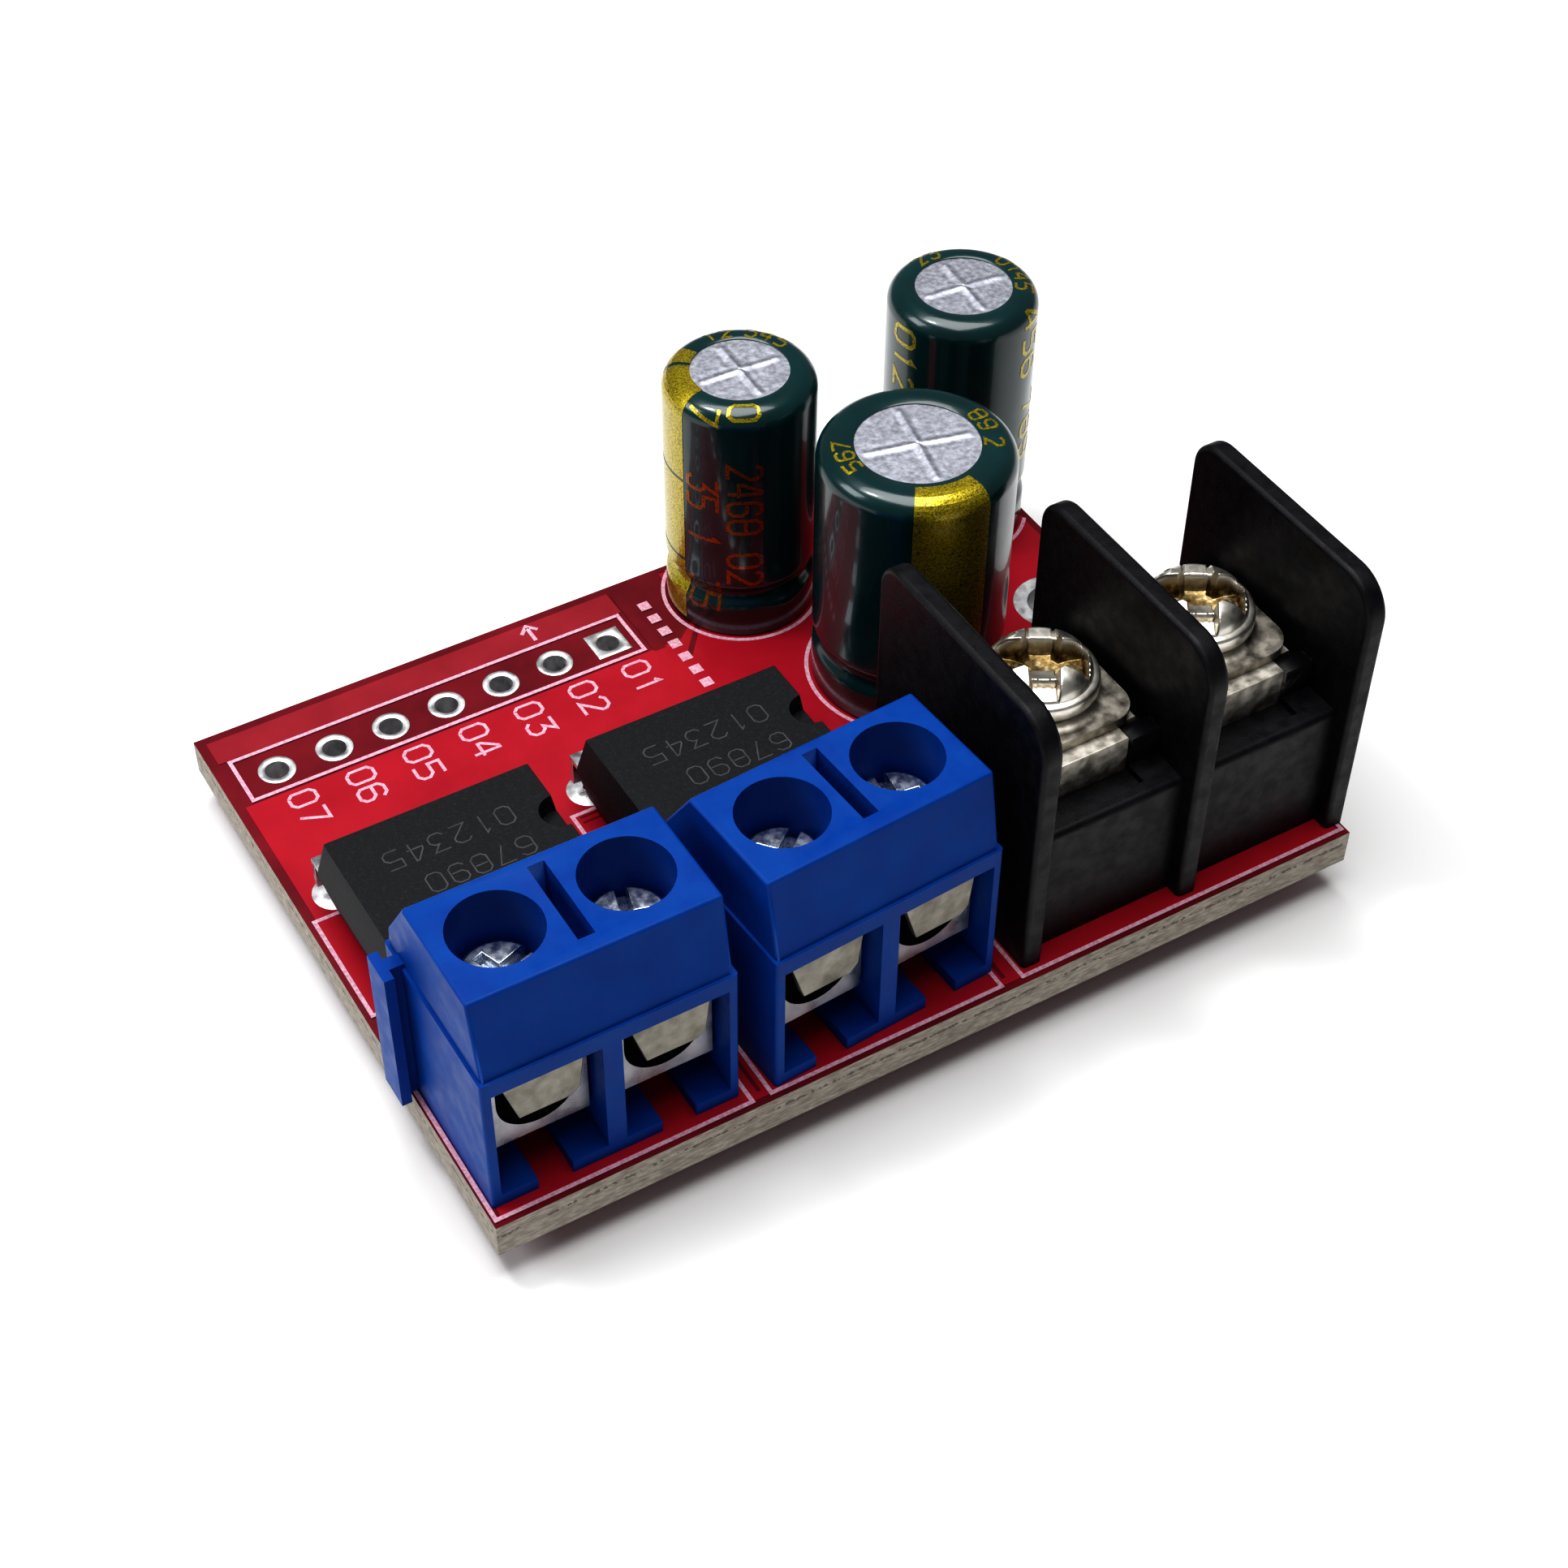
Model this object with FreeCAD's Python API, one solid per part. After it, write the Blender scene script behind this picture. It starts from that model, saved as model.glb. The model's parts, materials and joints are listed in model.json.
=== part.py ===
import FreeCAD, Part
import math
import os

# Dual motor driver module: a small circuit board with two bridge chips, three electrolytic
# capacitors, two blue wire terminals for the motors and a black screw terminal for the supply.
# Millimetres. While it is drawn, the origin is the front left corner of the board's upper face,
# with X along the front edge, Y to the back and Z up. export() moves it to the part's own origin.

V = FreeCAD.Vector
UP = V(0, 0, 1)

# Board
BOARD_X, BOARD_Y, BOARD_T = 38.0, 28.0, 1.6
UNDER = -BOARD_T
TAIL_END = -3.1                      # every lead and pin is clipped to this level
PAD_T = 0.05                         # copper and tin standing proud of the board

# Pin header: seven plated holes, not fitted. The plated barrel is drawn thick, as one stiff piece.
HEADER_PITCH = 2.54
HEADER_COUNT = 7
HEADER_AT = (2.35, 24.80)
HEADER_HOLE_R, HEADER_DRILL_R, HEADER_PAD_R = 0.50, 0.68, 0.78

# Plated mounting hole behind the supply terminal
MOUNT_AT = (35.55, 17.40)
MOUNT_HOLE_R, MOUNT_DRILL_R, MOUNT_PAD_R = 1.10, 1.30, 1.70

# Soldered leads: lead radius, drill radius, pad radius, height of the joint below the board, and
# height of the ring of tin above it (none where a terminal stands on it)
CHIP_SOLDER = (0.28, 0.45, 1.05, 0.9, 0.22)
CAP_LEAD_R = 0.28
CAP_SOLDER = (CAP_LEAD_R, 0.45, 1.0, 0.9, 0.08)
MOTOR_SOLDER = (0.62, 0.80, 1.25, 1.0, 0)
SUPPLY_SOLDER = (0.73, 0.95, 1.6, 1.1, 0)
CONE_START = 0.12                    # how far a joint's cone stands off the lead at its tip

# Driver chips: eight leads in two rows, 7.62 apart
CHIP_CENTRES = {"a": (5.50, 13.60), "b": (16.65, 13.60)}
CHIP_X, CHIP_Y = 9.3, 6.35
CHIP_TOP_X, CHIP_TOP_Y = 8.6, 5.75
CHIP_BOTTOM, CHIP_PARTING, CHIP_TOP = 0.55, 2.10, 3.86
CHIP_LEADS_X = (-3.81, -1.27, 1.27, 3.81)
CHIP_ROW_Y = 3.81
LEAD_T = 0.26
LEAD_SHOULDER_W, LEAD_TAIL_W = 1.50, 0.48
LEAD_INNER_Y, LEAD_WAIST_Z = 1.7, 0.8
PADDLE_X, PADDLE_Y = 4.8, 2.6
DIE_X, DIE_Y, DIE_T = 3.0, 2.0, 0.3
NOTCH_R, NOTCH_DEPTH = 0.85, 0.9

# Blue motor terminals: two poles each, 5.0 apart. Local frame: front left corner on the board.
MOTOR_PLACES = {"a": (0.29, 0.78, 0.0), "b": (11.33, 0.76, 3.89)}   # x, y, turn in degrees
BLOCK_X, BLOCK_Y, BLOCK_Z = 10.0, 7.6, 10.24
BLOCK_LEDGE = 6.83
BLOCK_INSET, BLOCK_EDGE_R = 0.12, 0.14
BLOCK_TOP_Y, BLOCK_SHOULDER = (0.78, 5.70), (7.35, 7.75)
POLES_X = (2.5, 7.5)
POLE_Y = 3.34
WIRE_ROOM_HALF, WIRE_ROOM_BACK, WIRE_ROOM_TOP = 2.12, 5.35, 6.1
FOOT_Z, FOOT_GAP_HALF = 0.62, 0.7
DRIVER_HOLE_R = 1.74
MOTOR_SCREW_R, THREAD_GAP = 1.50, 0.04
MOTOR_SCREW_Z = (5.17, 8.05)
CAGE_HALF, CAGE_Y, CAGE_Z, CAGE_T = 1.95, (1.0, 5.3), (1.95, 5.95), 0.4
CAGE_NUT_T = 0.7
WIRE_HOLE_R, WIRE_HOLE_Z = 1.6, 4.05
GUARD_T = 0.35
GUARD_TONGUE_HALF, GUARD_TONGUE_Z = 1.2, 4.80
GUARD_FLAP_Y, GUARD_FLAP_Z = 0.42, (3.75, 5.85)
PIN_HALF_X, PIN_HALF_Y, PIN_BACK = 0.5, 0.35, 0.5      # the pin, and how far behind the screw it is
RAIL_OUT, RAIL_Y, RAIL_TOP = 0.84, 6.42, 7.0
NECK_HALF, FLANGE_HALF, FLANGE_T = 0.28, 0.72, 0.4
RAIL_GAP = 0.08                      # how much wider the groove is than the rail, each side
DIVIDER_HALF, DIVIDER_Y, DIVIDER_Z = 0.33, (1.49, 5.3), 8.0
SLOT_HALF, SLOT_DEPTH, CROSS_REACH = 0.22, 0.6, 1.05
MOTOR_SLOT_ANGLES = {"a": (20, 75), "b": (35, 80)}

# Black supply terminal: two poles between three fins
FIN_T, FIN_PITCH, FIN_LEFT = 0.9, 7.3, 22.6
FIN_Y = (0.59, 11.59)
FIN_TOP = 12.56
FIN_FRONT_R, FIN_BACK_R, FIN_EDGE_R = 1.8, 1.3, 0.22
SUPPLY_Y, SUPPLY_Z = (1.3, 11.3), 6.0
SEAT_Y, SEAT_Z = (3.0, 9.9), 6.7
PLATE_T = 0.7
TAB_HALF, TAB_T, TAB_BOTTOM, TAB_GAP = 1.8, 0.5, 5.7, 0.05
WELL_GAP = 0.3                       # room round and under the screw in the housing
PLATE_HALF, PLATE_Y = 2.7, (3.9, 9.7)
LEG_HALF, LEG_T = 0.6, 0.8
SHOULDER_RISE = 0.6                  # how far the housing's front shoulders stand above the seat
SUPPLY_SCREW_Y = 6.5
SUPPLY_SCREW_R, SUPPLY_HEAD_R = 1.50, 2.25
SUPPLY_HEAD_Z = (8.27, 9.95)
SUPPLY_TIP = 3.6
RIM_T, DOME_MIDDLE, DOME_FLAT_R = 0.62, (2.0, 9.52), 1.40
SUPPLY_SLOT = (0.42, 0.95)           # half width and depth of the slot
SUPPLY_CROSS = (0.45, 1.15, 1.55)    # half width, depth and reach of the cross arms
DRIVE_ANGLE = 59.0                   # where the screws' slots point, from +X
WASHER_SIDE, WASHER_Z, WASHER_BORE = 5.6, (7.42, 8.25), 1.6
WASHER_T, WASHER_CORNER_R, WASHER_CROWN_R = 0.45, 1.2, (2.5, 1.95)

# Electrolytic capacitors: centre, radius with sleeve, height, bare disc, half lead spacing,
# and the direction of the row of leads
CAPACITORS = {
    "1": ((24.31, 25.05), 3.21, 11.83, 2.08, 1.25, 0.0),
    "2": ((27.94, 17.29), 4.04, 11.91, 2.55, 1.75, 0.0),
    "3": ((35.08, 24.92), 3.21, 12.21, 2.08, 1.25, 0.0),
}
SLEEVE_T, CAN_T = 0.10, 0.25
CAP_FOOT, CAP_BEND = 0.1, 0.8         # gap under the sleeve, and radius of the shoulder
CRIMP_Z, CRIMP_HALF, CRIMP_DEPTH = 2.2, 0.45, 0.38
SEAL_FOOT, SEAL_TOP, SEAL_GAP = 0.25, 2.6, 0.02
WINDING_GAP = 0.15
VENT_W, VENT_DEPTH, VENT_MARGIN = 0.28, 0.12, 1.5

# Voltage regulator and its two ceramic capacitors, under the board
REGULATOR_AT, REGULATOR_HALF = (20.5, 21.4), (1.45, 0.65)
REGULATOR_TOP, REGULATOR_GAP, REGULATOR_EDGE = 1.15, 0.1, 0.12
FOOT_STEP, FOOT_HALF, FOOT_REACH, FOOT_T = 0.95, 0.2, 0.6, 0.14
CERAMICS_AT, CERAMIC_HALF, CERAMIC_T = ((16.6, 21.4), (16.6, 19.2)), (1.0, 0.62), 0.85

OVER = 1.0                           # how far a cutting tool runs past what it cuts
LAP = 0.1                            # how far pieces that become one solid overlap

# The part's own origin: middle of the base of the whole module
X_LOW, X_HIGH = MOTOR_PLACES["a"][0] - RAIL_OUT, CAPACITORS["3"][0][0] + CAPACITORS["3"][1]
Y_HIGH = CAPACITORS["1"][0][1] + CAPACITORS["1"][1]
ORIGIN = V((X_LOW + X_HIGH) / 2, Y_HIGH / 2, TAIL_END)


# ---------------------------------------------------------------- drawing helpers

def box(x, y, z):
    """A box that fills the spans x, y and z."""
    return Part.makeBox(x[1] - x[0], y[1] - y[0], z[1] - z[0], V(x[0], y[0], z[0]))


def about(middle, half):
    """The span that reaches half each side of middle."""
    return (middle - half, middle + half)


def rod(at, z, radius):
    """An upright cylinder at the point at, over the span z."""
    return Part.makeCylinder(radius, z[1] - z[0], V(at[0], at[1], z[0]))


def tube(at, z, outer, inner):
    """An upright tube."""
    return rod(at, z, outer).cut(rod(at, z, inner))


def prism_x(outline, x):
    """A closed outline of (y, z) points, pushed along X over the span x."""
    points = [V(x[0], y, z) for y, z in outline]
    return Part.Face(Part.makePolygon(points + points[:1])).extrude(V(x[1] - x[0], 0, 0))


def prism_y(outline, y):
    """A closed outline of (x, z) points, pushed along Y over the span y."""
    points = [V(x, y[0], z) for x, z in outline]
    return Part.Face(Part.makePolygon(points + points[:1])).extrude(V(0, y[1] - y[0], 0))


def rectangle(centre, size_x, size_y, z):
    """A level rectangle, as a closed wire."""
    x, y = about(centre[0], size_x / 2), about(centre[1], size_y / 2)
    corners = [V(x[0], y[0], z), V(x[1], y[0], z), V(x[1], y[1], z), V(x[0], y[1], z)]
    return Part.makePolygon(corners + corners[:1])


def turned(edges, centre):
    """The solid that a closed chain of edges in the XZ plane sweeps about the upright at centre."""
    face = Part.Face(Part.Wire(edges))
    solid = face.revolve(V(0, 0, 0), UP, 360)
    solid.translate(V(centre[0], centre[1], 0))
    return solid


def chain(points):
    """Straight edges from point to point, (radius, z), closed."""
    ends = [V(r, 0, z) for r, z in points]
    return [Part.makeLine(p, q) for p, q in zip(ends, ends[1:] + ends[:1])]


def edges_along(solid, direction):
    """The straight edges of a solid that run along a direction."""
    found = []
    for edge in solid.Edges:
        run = edge.Vertexes[-1].Point.sub(edge.Vertexes[0].Point)
        if run.Length > 0 and abs(abs(run.normalize().dot(direction)) - 1) < 1e-6:
            found.append(edge)
    return found


def fused(solids):
    """One solid from several that touch or overlap."""
    return solids[0].fuse(solids[1:]).removeSplitter()


def export(node, shape, place=None):
    """Write one node, moved first by its own placement and then to the part's origin."""
    done = shape.copy()
    if place is not None:
        done.Placement = place.multiply(done.Placement)
    done.translate(ORIGIN.negative())
    done.exportStep("parts/%s.step" % node)


# ---------------------------------------------------------------- board

def motor_placement(side):
    """Where a blue terminal's local frame lies on the board: moved, and turned about its middle."""
    x, y, turn = MOTOR_PLACES[side]
    middle = V(BLOCK_X / 2, BLOCK_Y / 2, 0)
    return FreeCAD.Placement(V(x, y, 0), FreeCAD.Rotation(UP, turn), middle)


def header_holes():
    """The centres of the header's holes, left to right."""
    return [(HEADER_AT[0] + i * HEADER_PITCH, HEADER_AT[1]) for i in range(HEADER_COUNT)]


def supply_middles():
    """The x of each supply pole, midway between its fins."""
    return [FIN_LEFT + FIN_T / 2 + (i + 0.5) * FIN_PITCH for i in range(2)]


def chip_lead_places():
    """The centre of each lead tail of both chips."""
    return [(x + dx, y + dy) for x, y in CHIP_CENTRES.values()
            for dx in CHIP_LEADS_X for dy in (-CHIP_ROW_Y, CHIP_ROW_Y)]


def cap_lead_places(name):
    """The centres of one capacitor's two leads."""
    (x, y), _, _, _, half, turn = CAPACITORS[name]
    dx, dy = half * math.cos(math.radians(turn)), half * math.sin(math.radians(turn))
    return [(x - dx, y - dy), (x + dx, y + dy)]


def motor_pin_places():
    """The centre of each blue terminal's pins, on the board."""
    places = []
    for side in MOTOR_PLACES:
        for x in POLES_X:
            at = motor_placement(side).multVec(V(x, POLE_Y + PIN_BACK, 0))
            places.append((at.x, at.y))
    return places


def supply_pin_places():
    """The centre of each supply pin."""
    return [(x, PLATE_Y[1] - LEG_T / 2) for x in supply_middles()]


def soldered_places():
    """The centre of every soldered hole, with the sizes of its joint."""
    capacitor_leads = [at for name in CAPACITORS for at in cap_lead_places(name)]
    rows = ((chip_lead_places(), CHIP_SOLDER), (capacitor_leads, CAP_SOLDER),
            (motor_pin_places(), MOTOR_SOLDER), (supply_pin_places(), SUPPLY_SOLDER))
    return [(at, sizes) for places, sizes in rows for at in places]


def circuit_board():
    board = box((0, BOARD_X), (0, BOARD_Y), (UNDER, 0))
    drills = [rod(at, (UNDER, 0), HEADER_DRILL_R) for at in header_holes()]
    drills.append(rod(MOUNT_AT, (UNDER, 0), MOUNT_DRILL_R))
    drills += [rod(at, (UNDER, 0), sizes[1]) for at, sizes in soldered_places()]
    return board.cut(drills)


def eyelet(at, hole, drill, pad, square=False):
    """A plated hole: a thin barrel with a pad on each face of the board."""
    barrel = tube(at, (UNDER, 0), drill, hole)
    pads = []
    for z in ((UNDER - PAD_T, UNDER), (0, PAD_T)):
        blank = rod(at, z, pad)
        if square:
            blank = box(about(at[0], pad), about(at[1], pad), z)
        pads.append(blank.cut(rod(at, z, hole)))
    return fused([barrel] + pads)


def header_eyelets():
    last = header_holes()[-1]
    rings = [eyelet(at, HEADER_HOLE_R, HEADER_DRILL_R, HEADER_PAD_R, at == last) for at in header_holes()]
    return Part.makeCompound(rings)


def solder_joint(at, lead, drill, pad, height, ring):
    """A soldered lead: a ring of tin on top, the filled hole, and a cone round the tail below."""
    solids = [rod(at, (UNDER, 0), drill)]
    solids.append(Part.makeCone(lead + CONE_START, pad, height, V(at[0], at[1], UNDER - height)))
    if ring:
        solids.append(Part.makeCone(pad, drill, ring, V(at[0], at[1], 0)))
    return fused(solids).cut(rod(at, (TAIL_END, OVER), lead))


def solder_joints():
    return Part.makeCompound([solder_joint(at, *sizes) for at, sizes in soldered_places()])


# ---------------------------------------------------------------- driver chips

def chip_lead(x, side):
    """One lead in the chip's frame: a wide shoulder out of the case, then a narrow tail."""
    outer, inner = CHIP_ROW_Y + LEAD_T / 2, CHIP_ROW_Y - LEAD_T / 2
    wide = about(x, LEAD_SHOULDER_W / 2)
    level = about(CHIP_PARTING, LEAD_T / 2)
    shoulder = box(wide, (LEAD_INNER_Y, outer), level)
    drop = box(wide, (inner, outer), (LEAD_WAIST_Z, level[1]))
    tail = box(about(x, LEAD_TAIL_W / 2), (inner, outer), (TAIL_END, LEAD_WAIST_Z))
    lead = fused([shoulder, drop, tail])
    if side < 0:
        lead = lead.mirror(V(0, 0, 0), V(0, 1, 0))
    return lead


def chip_leads():
    return Part.makeCompound([chip_lead(x, side) for x in CHIP_LEADS_X for side in (-1, 1)])


def chip_paddle():
    """The copper island that the die is bonded to, inside the case."""
    return box(about(0, PADDLE_X / 2), about(0, PADDLE_Y / 2), about(CHIP_PARTING, LEAD_T / 2))


def chip_die():
    top_of_paddle = CHIP_PARTING + LEAD_T / 2
    return box(about(0, DIE_X / 2), about(0, DIE_Y / 2), (top_of_paddle, top_of_paddle + DIE_T))


def chip_case():
    """The moulded case: two tapered halves, with the end notch and room for what it encloses."""
    middle = rectangle((0, 0), CHIP_X, CHIP_Y, CHIP_PARTING)
    upper = Part.makeLoft([middle, rectangle((0, 0), CHIP_TOP_X, CHIP_TOP_Y, CHIP_TOP)], True)
    lower = Part.makeLoft([rectangle((0, 0), CHIP_TOP_X, CHIP_TOP_Y, CHIP_BOTTOM), middle], True)
    notch = rod((CHIP_TOP_X / 2, 0), (CHIP_TOP - NOTCH_DEPTH, CHIP_TOP + OVER), NOTCH_R)
    case = fused([upper, lower]).cut(notch)
    return case.cut([chip_leads(), chip_paddle(), chip_die()])


# ---------------------------------------------------------------- blue motor terminals

def motor_housing():
    """The blue moulding: lower walls, set back upper part, screw wells, wire rooms, rail and groove."""
    lower = box((0, BLOCK_X), (0, BLOCK_Y), (0, BLOCK_LEDGE))
    lower = lower.makeFillet(BLOCK_EDGE_R, edges_along(lower, UP))
    root = BLOCK_LEDGE - 2 * LAP
    shoulder_y, shoulder_z = BLOCK_SHOULDER
    outline = [(BLOCK_INSET, root), (BLOCK_TOP_Y[0], BLOCK_Z), (BLOCK_TOP_Y[1], BLOCK_Z),
               (shoulder_y, shoulder_z), (BLOCK_Y - BLOCK_INSET, root)]
    upper = prism_x(outline, (BLOCK_INSET, BLOCK_X - BLOCK_INSET))
    upper = upper.makeFillet(BLOCK_EDGE_R, [e for e in upper.Edges if e.BoundBox.ZMax > BLOCK_LEDGE])
    neck = box((-RAIL_OUT, 2 * LAP), about(RAIL_Y, NECK_HALF), (LAP, RAIL_TOP))
    flange = box((-RAIL_OUT, -RAIL_OUT + FLANGE_T), about(RAIL_Y, FLANGE_HALF), (LAP, RAIL_TOP))
    body = fused([lower, upper, neck, flange])
    mouth, deep = BLOCK_X - RAIL_OUT + FLANGE_T - RAIL_GAP, BLOCK_X - RAIL_OUT - RAIL_GAP
    cuts = [box((mouth, BLOCK_X), about(RAIL_Y, NECK_HALF + RAIL_GAP), (0, RAIL_TOP + LAP)),
            box((deep, mouth), about(RAIL_Y, FLANGE_HALF + RAIL_GAP), (0, RAIL_TOP + LAP)),
            box(about(BLOCK_X / 2, DIVIDER_HALF), DIVIDER_Y, (DIVIDER_Z, BLOCK_Z + OVER))]
    for x in POLES_X:
        room_y = (-OVER, WIRE_ROOM_BACK)
        cuts.append(rod((x, POLE_Y), (WIRE_ROOM_TOP - LAP, BLOCK_Z + OVER), DRIVER_HOLE_R))
        cuts.append(box(about(x, WIRE_ROOM_HALF), room_y, (FOOT_Z, WIRE_ROOM_TOP)))
        cuts.append(box(about(x, FOOT_GAP_HALF), room_y, (-OVER, FOOT_Z + LAP)))
    return body.cut(cuts)


def motor_cage(x):
    """The tinned cage of one pole: a box section with the wire hole in front, the nut on top and a pin."""
    shell = box(about(x, CAGE_HALF), CAGE_Y, CAGE_Z)
    room = box(about(x, CAGE_HALF - CAGE_T), (CAGE_Y[0] + CAGE_T, CAGE_Y[1] - CAGE_T),
               (CAGE_Z[0] + CAGE_T, CAGE_Z[1] - CAGE_NUT_T))
    front = (CAGE_Y[0] - LAP, CAGE_Y[0] + CAGE_T + LAP)
    bore = Part.makeCylinder(WIRE_HOLE_R, front[1] - front[0], V(x, front[0], WIRE_HOLE_Z), V(0, 1, 0))
    mouth = box(about(x, WIRE_HOLE_R), front, (WIRE_HOLE_Z, CAGE_Z[1] - CAGE_NUT_T))
    thread = rod((x, POLE_Y), (CAGE_Z[1] - OVER, CAGE_Z[1] + OVER), MOTOR_SCREW_R + THREAD_GAP)
    pin = box(about(x, PIN_HALF_X), about(POLE_Y + PIN_BACK, PIN_HALF_Y), (TAIL_END, CAGE_Z[0] + LAP))
    return fused([shell.cut([room, bore, mouth, thread]), pin])


def motor_guard(x):
    """The wire guard of one pole: a tongue under the screw, and a tapered flap before the wire hole."""
    tongue = box(about(x, GUARD_TONGUE_HALF), (GUARD_FLAP_Y, CAGE_Y[1] - CAGE_T - LAP),
                 (GUARD_TONGUE_Z, GUARD_TONGUE_Z + GUARD_T))
    low, high = GUARD_FLAP_Z
    outline = [(x - 1.0, low), (x + 1.05, low), (x + 1.40, low + 0.35), (x + 1.62, high), (x - 1.62, high)]
    flap = prism_y(outline, (GUARD_FLAP_Y, GUARD_FLAP_Y + GUARD_T))
    return fused([tongue, flap])


def motor_screw(x, slot_angle):
    """A full-thread screw with a through slot and a short cross slot."""
    shank = rod((x, POLE_Y), MOTOR_SCREW_Z, MOTOR_SCREW_R)
    rims = [e for e in shank.Edges if isinstance(e.Curve, Part.Circle)]
    shank = shank.makeChamfer(0.15, rims)
    level = (MOTOR_SCREW_Z[1] - SLOT_DEPTH, MOTOR_SCREW_Z[1] + OVER)
    slots = [box(about(0, MOTOR_SCREW_R + LAP), about(0, SLOT_HALF), level),
             box(about(0, SLOT_HALF), about(0, CROSS_REACH), level)]
    for slot in slots:
        slot.rotate(V(0, 0, 0), UP, slot_angle)
        slot.translate(V(x, POLE_Y, 0))
    return shank.cut(slots)


# ---------------------------------------------------------------- black supply terminal

def fin(left):
    """One upright divider with rounded upper corners and softened edges."""
    blank = box((left, left + FIN_T), FIN_Y, (0, FIN_TOP))
    for edge_y, radius in zip(FIN_Y, (FIN_FRONT_R, FIN_BACK_R)):
        corner = [e for e in edges_along(blank, V(1, 0, 0))
                  if e.BoundBox.ZMin > FIN_TOP - LAP and abs(e.BoundBox.Center.y - edge_y) < LAP]
        blank = blank.makeFillet(radius, corner)
    sides = [e for e in blank.Edges if e.BoundBox.XLength < LAP and e.BoundBox.ZMax > LAP]
    return blank.makeFillet(FIN_EDGE_R, sides)


def supply_housing():
    """The black moulding: three fins and, between them, a seat and front shoulders for each plate."""
    solids = [fin(FIN_LEFT + i * FIN_PITCH) for i in range(3)]
    cuts = []
    for x in supply_middles():
        bay = about(x, FIN_PITCH / 2)
        base = box(bay, SUPPLY_Y, (0, SUPPLY_Z))
        rims = [e for e in edges_along(base, V(1, 0, 0)) if e.BoundBox.ZMin > LAP]
        solids.append(base.makeFillet(0.3, rims))
        solids.append(box(bay, SEAT_Y, (SUPPLY_Z - OVER, SEAT_Z)))
        for side in (-1, 1):
            inner, outer = sorted((x + side * (TAB_HALF + 2 * TAB_GAP), x + side * FIN_PITCH / 2))
            shoulder_y = (SEAT_Y[0], PLATE_Y[0] - 2 * TAB_GAP)
            solids.append(box((inner, outer), shoulder_y, (SEAT_Z - OVER, SEAT_Z + SHOULDER_RISE)))
        tab_y = (SEAT_Y[0] - OVER, SEAT_Y[0] + TAB_T + 2 * TAB_GAP)
        leg_y = (PLATE_Y[1] - LEG_T - TAB_GAP, PLATE_Y[1] + TAB_GAP)
        cuts.append(box(about(x, TAB_HALF + TAB_GAP), tab_y, (TAB_BOTTOM, SEAT_Z + 2 * OVER)))
        cuts.append(box(about(x, LEG_HALF + TAB_GAP), leg_y, (-OVER, SEAT_Z + 2 * OVER)))
        well = (SUPPLY_TIP - WELL_GAP, SEAT_Z + OVER)
        cuts.append(rod((x, SUPPLY_SCREW_Y), well, SUPPLY_SCREW_R + WELL_GAP))
    return fused(solids).cut(cuts)


def supply_plate(x):
    """One terminal plate: the threaded top, its front tab folded down, and the leg that is soldered."""
    level = (SEAT_Z, SEAT_Z + PLATE_T)
    top = box(about(x, PLATE_HALF), PLATE_Y, level)
    front = SEAT_Y[0] + TAB_GAP
    neck = box(about(x, TAB_HALF), (front, PLATE_Y[0]), level)
    tab = box(about(x, TAB_HALF), (front, front + TAB_T), (TAB_BOTTOM, SEAT_Z + LAP))
    leg = box(about(x, LEG_HALF), (PLATE_Y[1] - LEG_T, PLATE_Y[1]), (TAIL_END, SEAT_Z + LAP))
    thread = rod((x, SUPPLY_SCREW_Y), (SEAT_Z - OVER, SEAT_Z + 2 * OVER), SUPPLY_SCREW_R + THREAD_GAP)
    return fused([top, neck, tab, leg]).cut(thread)


def supply_washer(x):
    """The captive washer: a square cup with rounded corners and a raised middle."""
    low, high = WASHER_Z
    at = (x, SUPPLY_SCREW_Y)
    step = low + WASHER_T
    square = box(about(x, WASHER_SIDE / 2), about(SUPPLY_SCREW_Y, WASHER_SIDE / 2), (low, step))
    square = square.makeFillet(WASHER_CORNER_R, edges_along(square, UP))
    crown = Part.makeCone(*WASHER_CROWN_R, high - step, V(x, SUPPLY_SCREW_Y, step))
    return fused([square, crown]).cut(rod(at, (low - OVER, high + OVER), WASHER_BORE))


def supply_screw(x):
    """The domed screw: shank, rim, dome, through slot and cross recess."""
    low, high = SUPPLY_HEAD_Z
    rim, tip = low + RIM_T, SUPPLY_TIP
    stem = [(0, tip), (SUPPLY_SCREW_R - 0.2, tip), (SUPPLY_SCREW_R, tip + 0.2),
            (SUPPLY_SCREW_R, low), (SUPPLY_HEAD_R, low), (SUPPLY_HEAD_R, rim)]
    ends = [V(r, 0, z) for r, z in stem]
    edges = [Part.makeLine(p, q) for p, q in zip(ends, ends[1:])]
    middle, crest = V(DOME_MIDDLE[0], 0, DOME_MIDDLE[1]), V(DOME_FLAT_R, 0, high)
    edges.append(Part.Arc(ends[-1], middle, crest).toShape())
    edges.append(Part.makeLine(crest, V(0, 0, high)))
    edges.append(Part.makeLine(V(0, 0, high), ends[0]))
    slot_half, slot_depth = SUPPLY_SLOT
    cross_half, cross_depth, cross_reach = SUPPLY_CROSS
    slots = [box(about(0, SUPPLY_HEAD_R + LAP), about(0, slot_half), (high - slot_depth, high + OVER)),
             box(about(0, cross_half), about(0, cross_reach), (high - cross_depth, high + OVER))]
    screw = turned(edges, (0, 0)).cut(slots)
    screw.rotate(V(0, 0, 0), UP, DRIVE_ANGLE)
    screw.translate(V(x, SUPPLY_SCREW_Y, 0))
    return screw


# ---------------------------------------------------------------- capacitors

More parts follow.
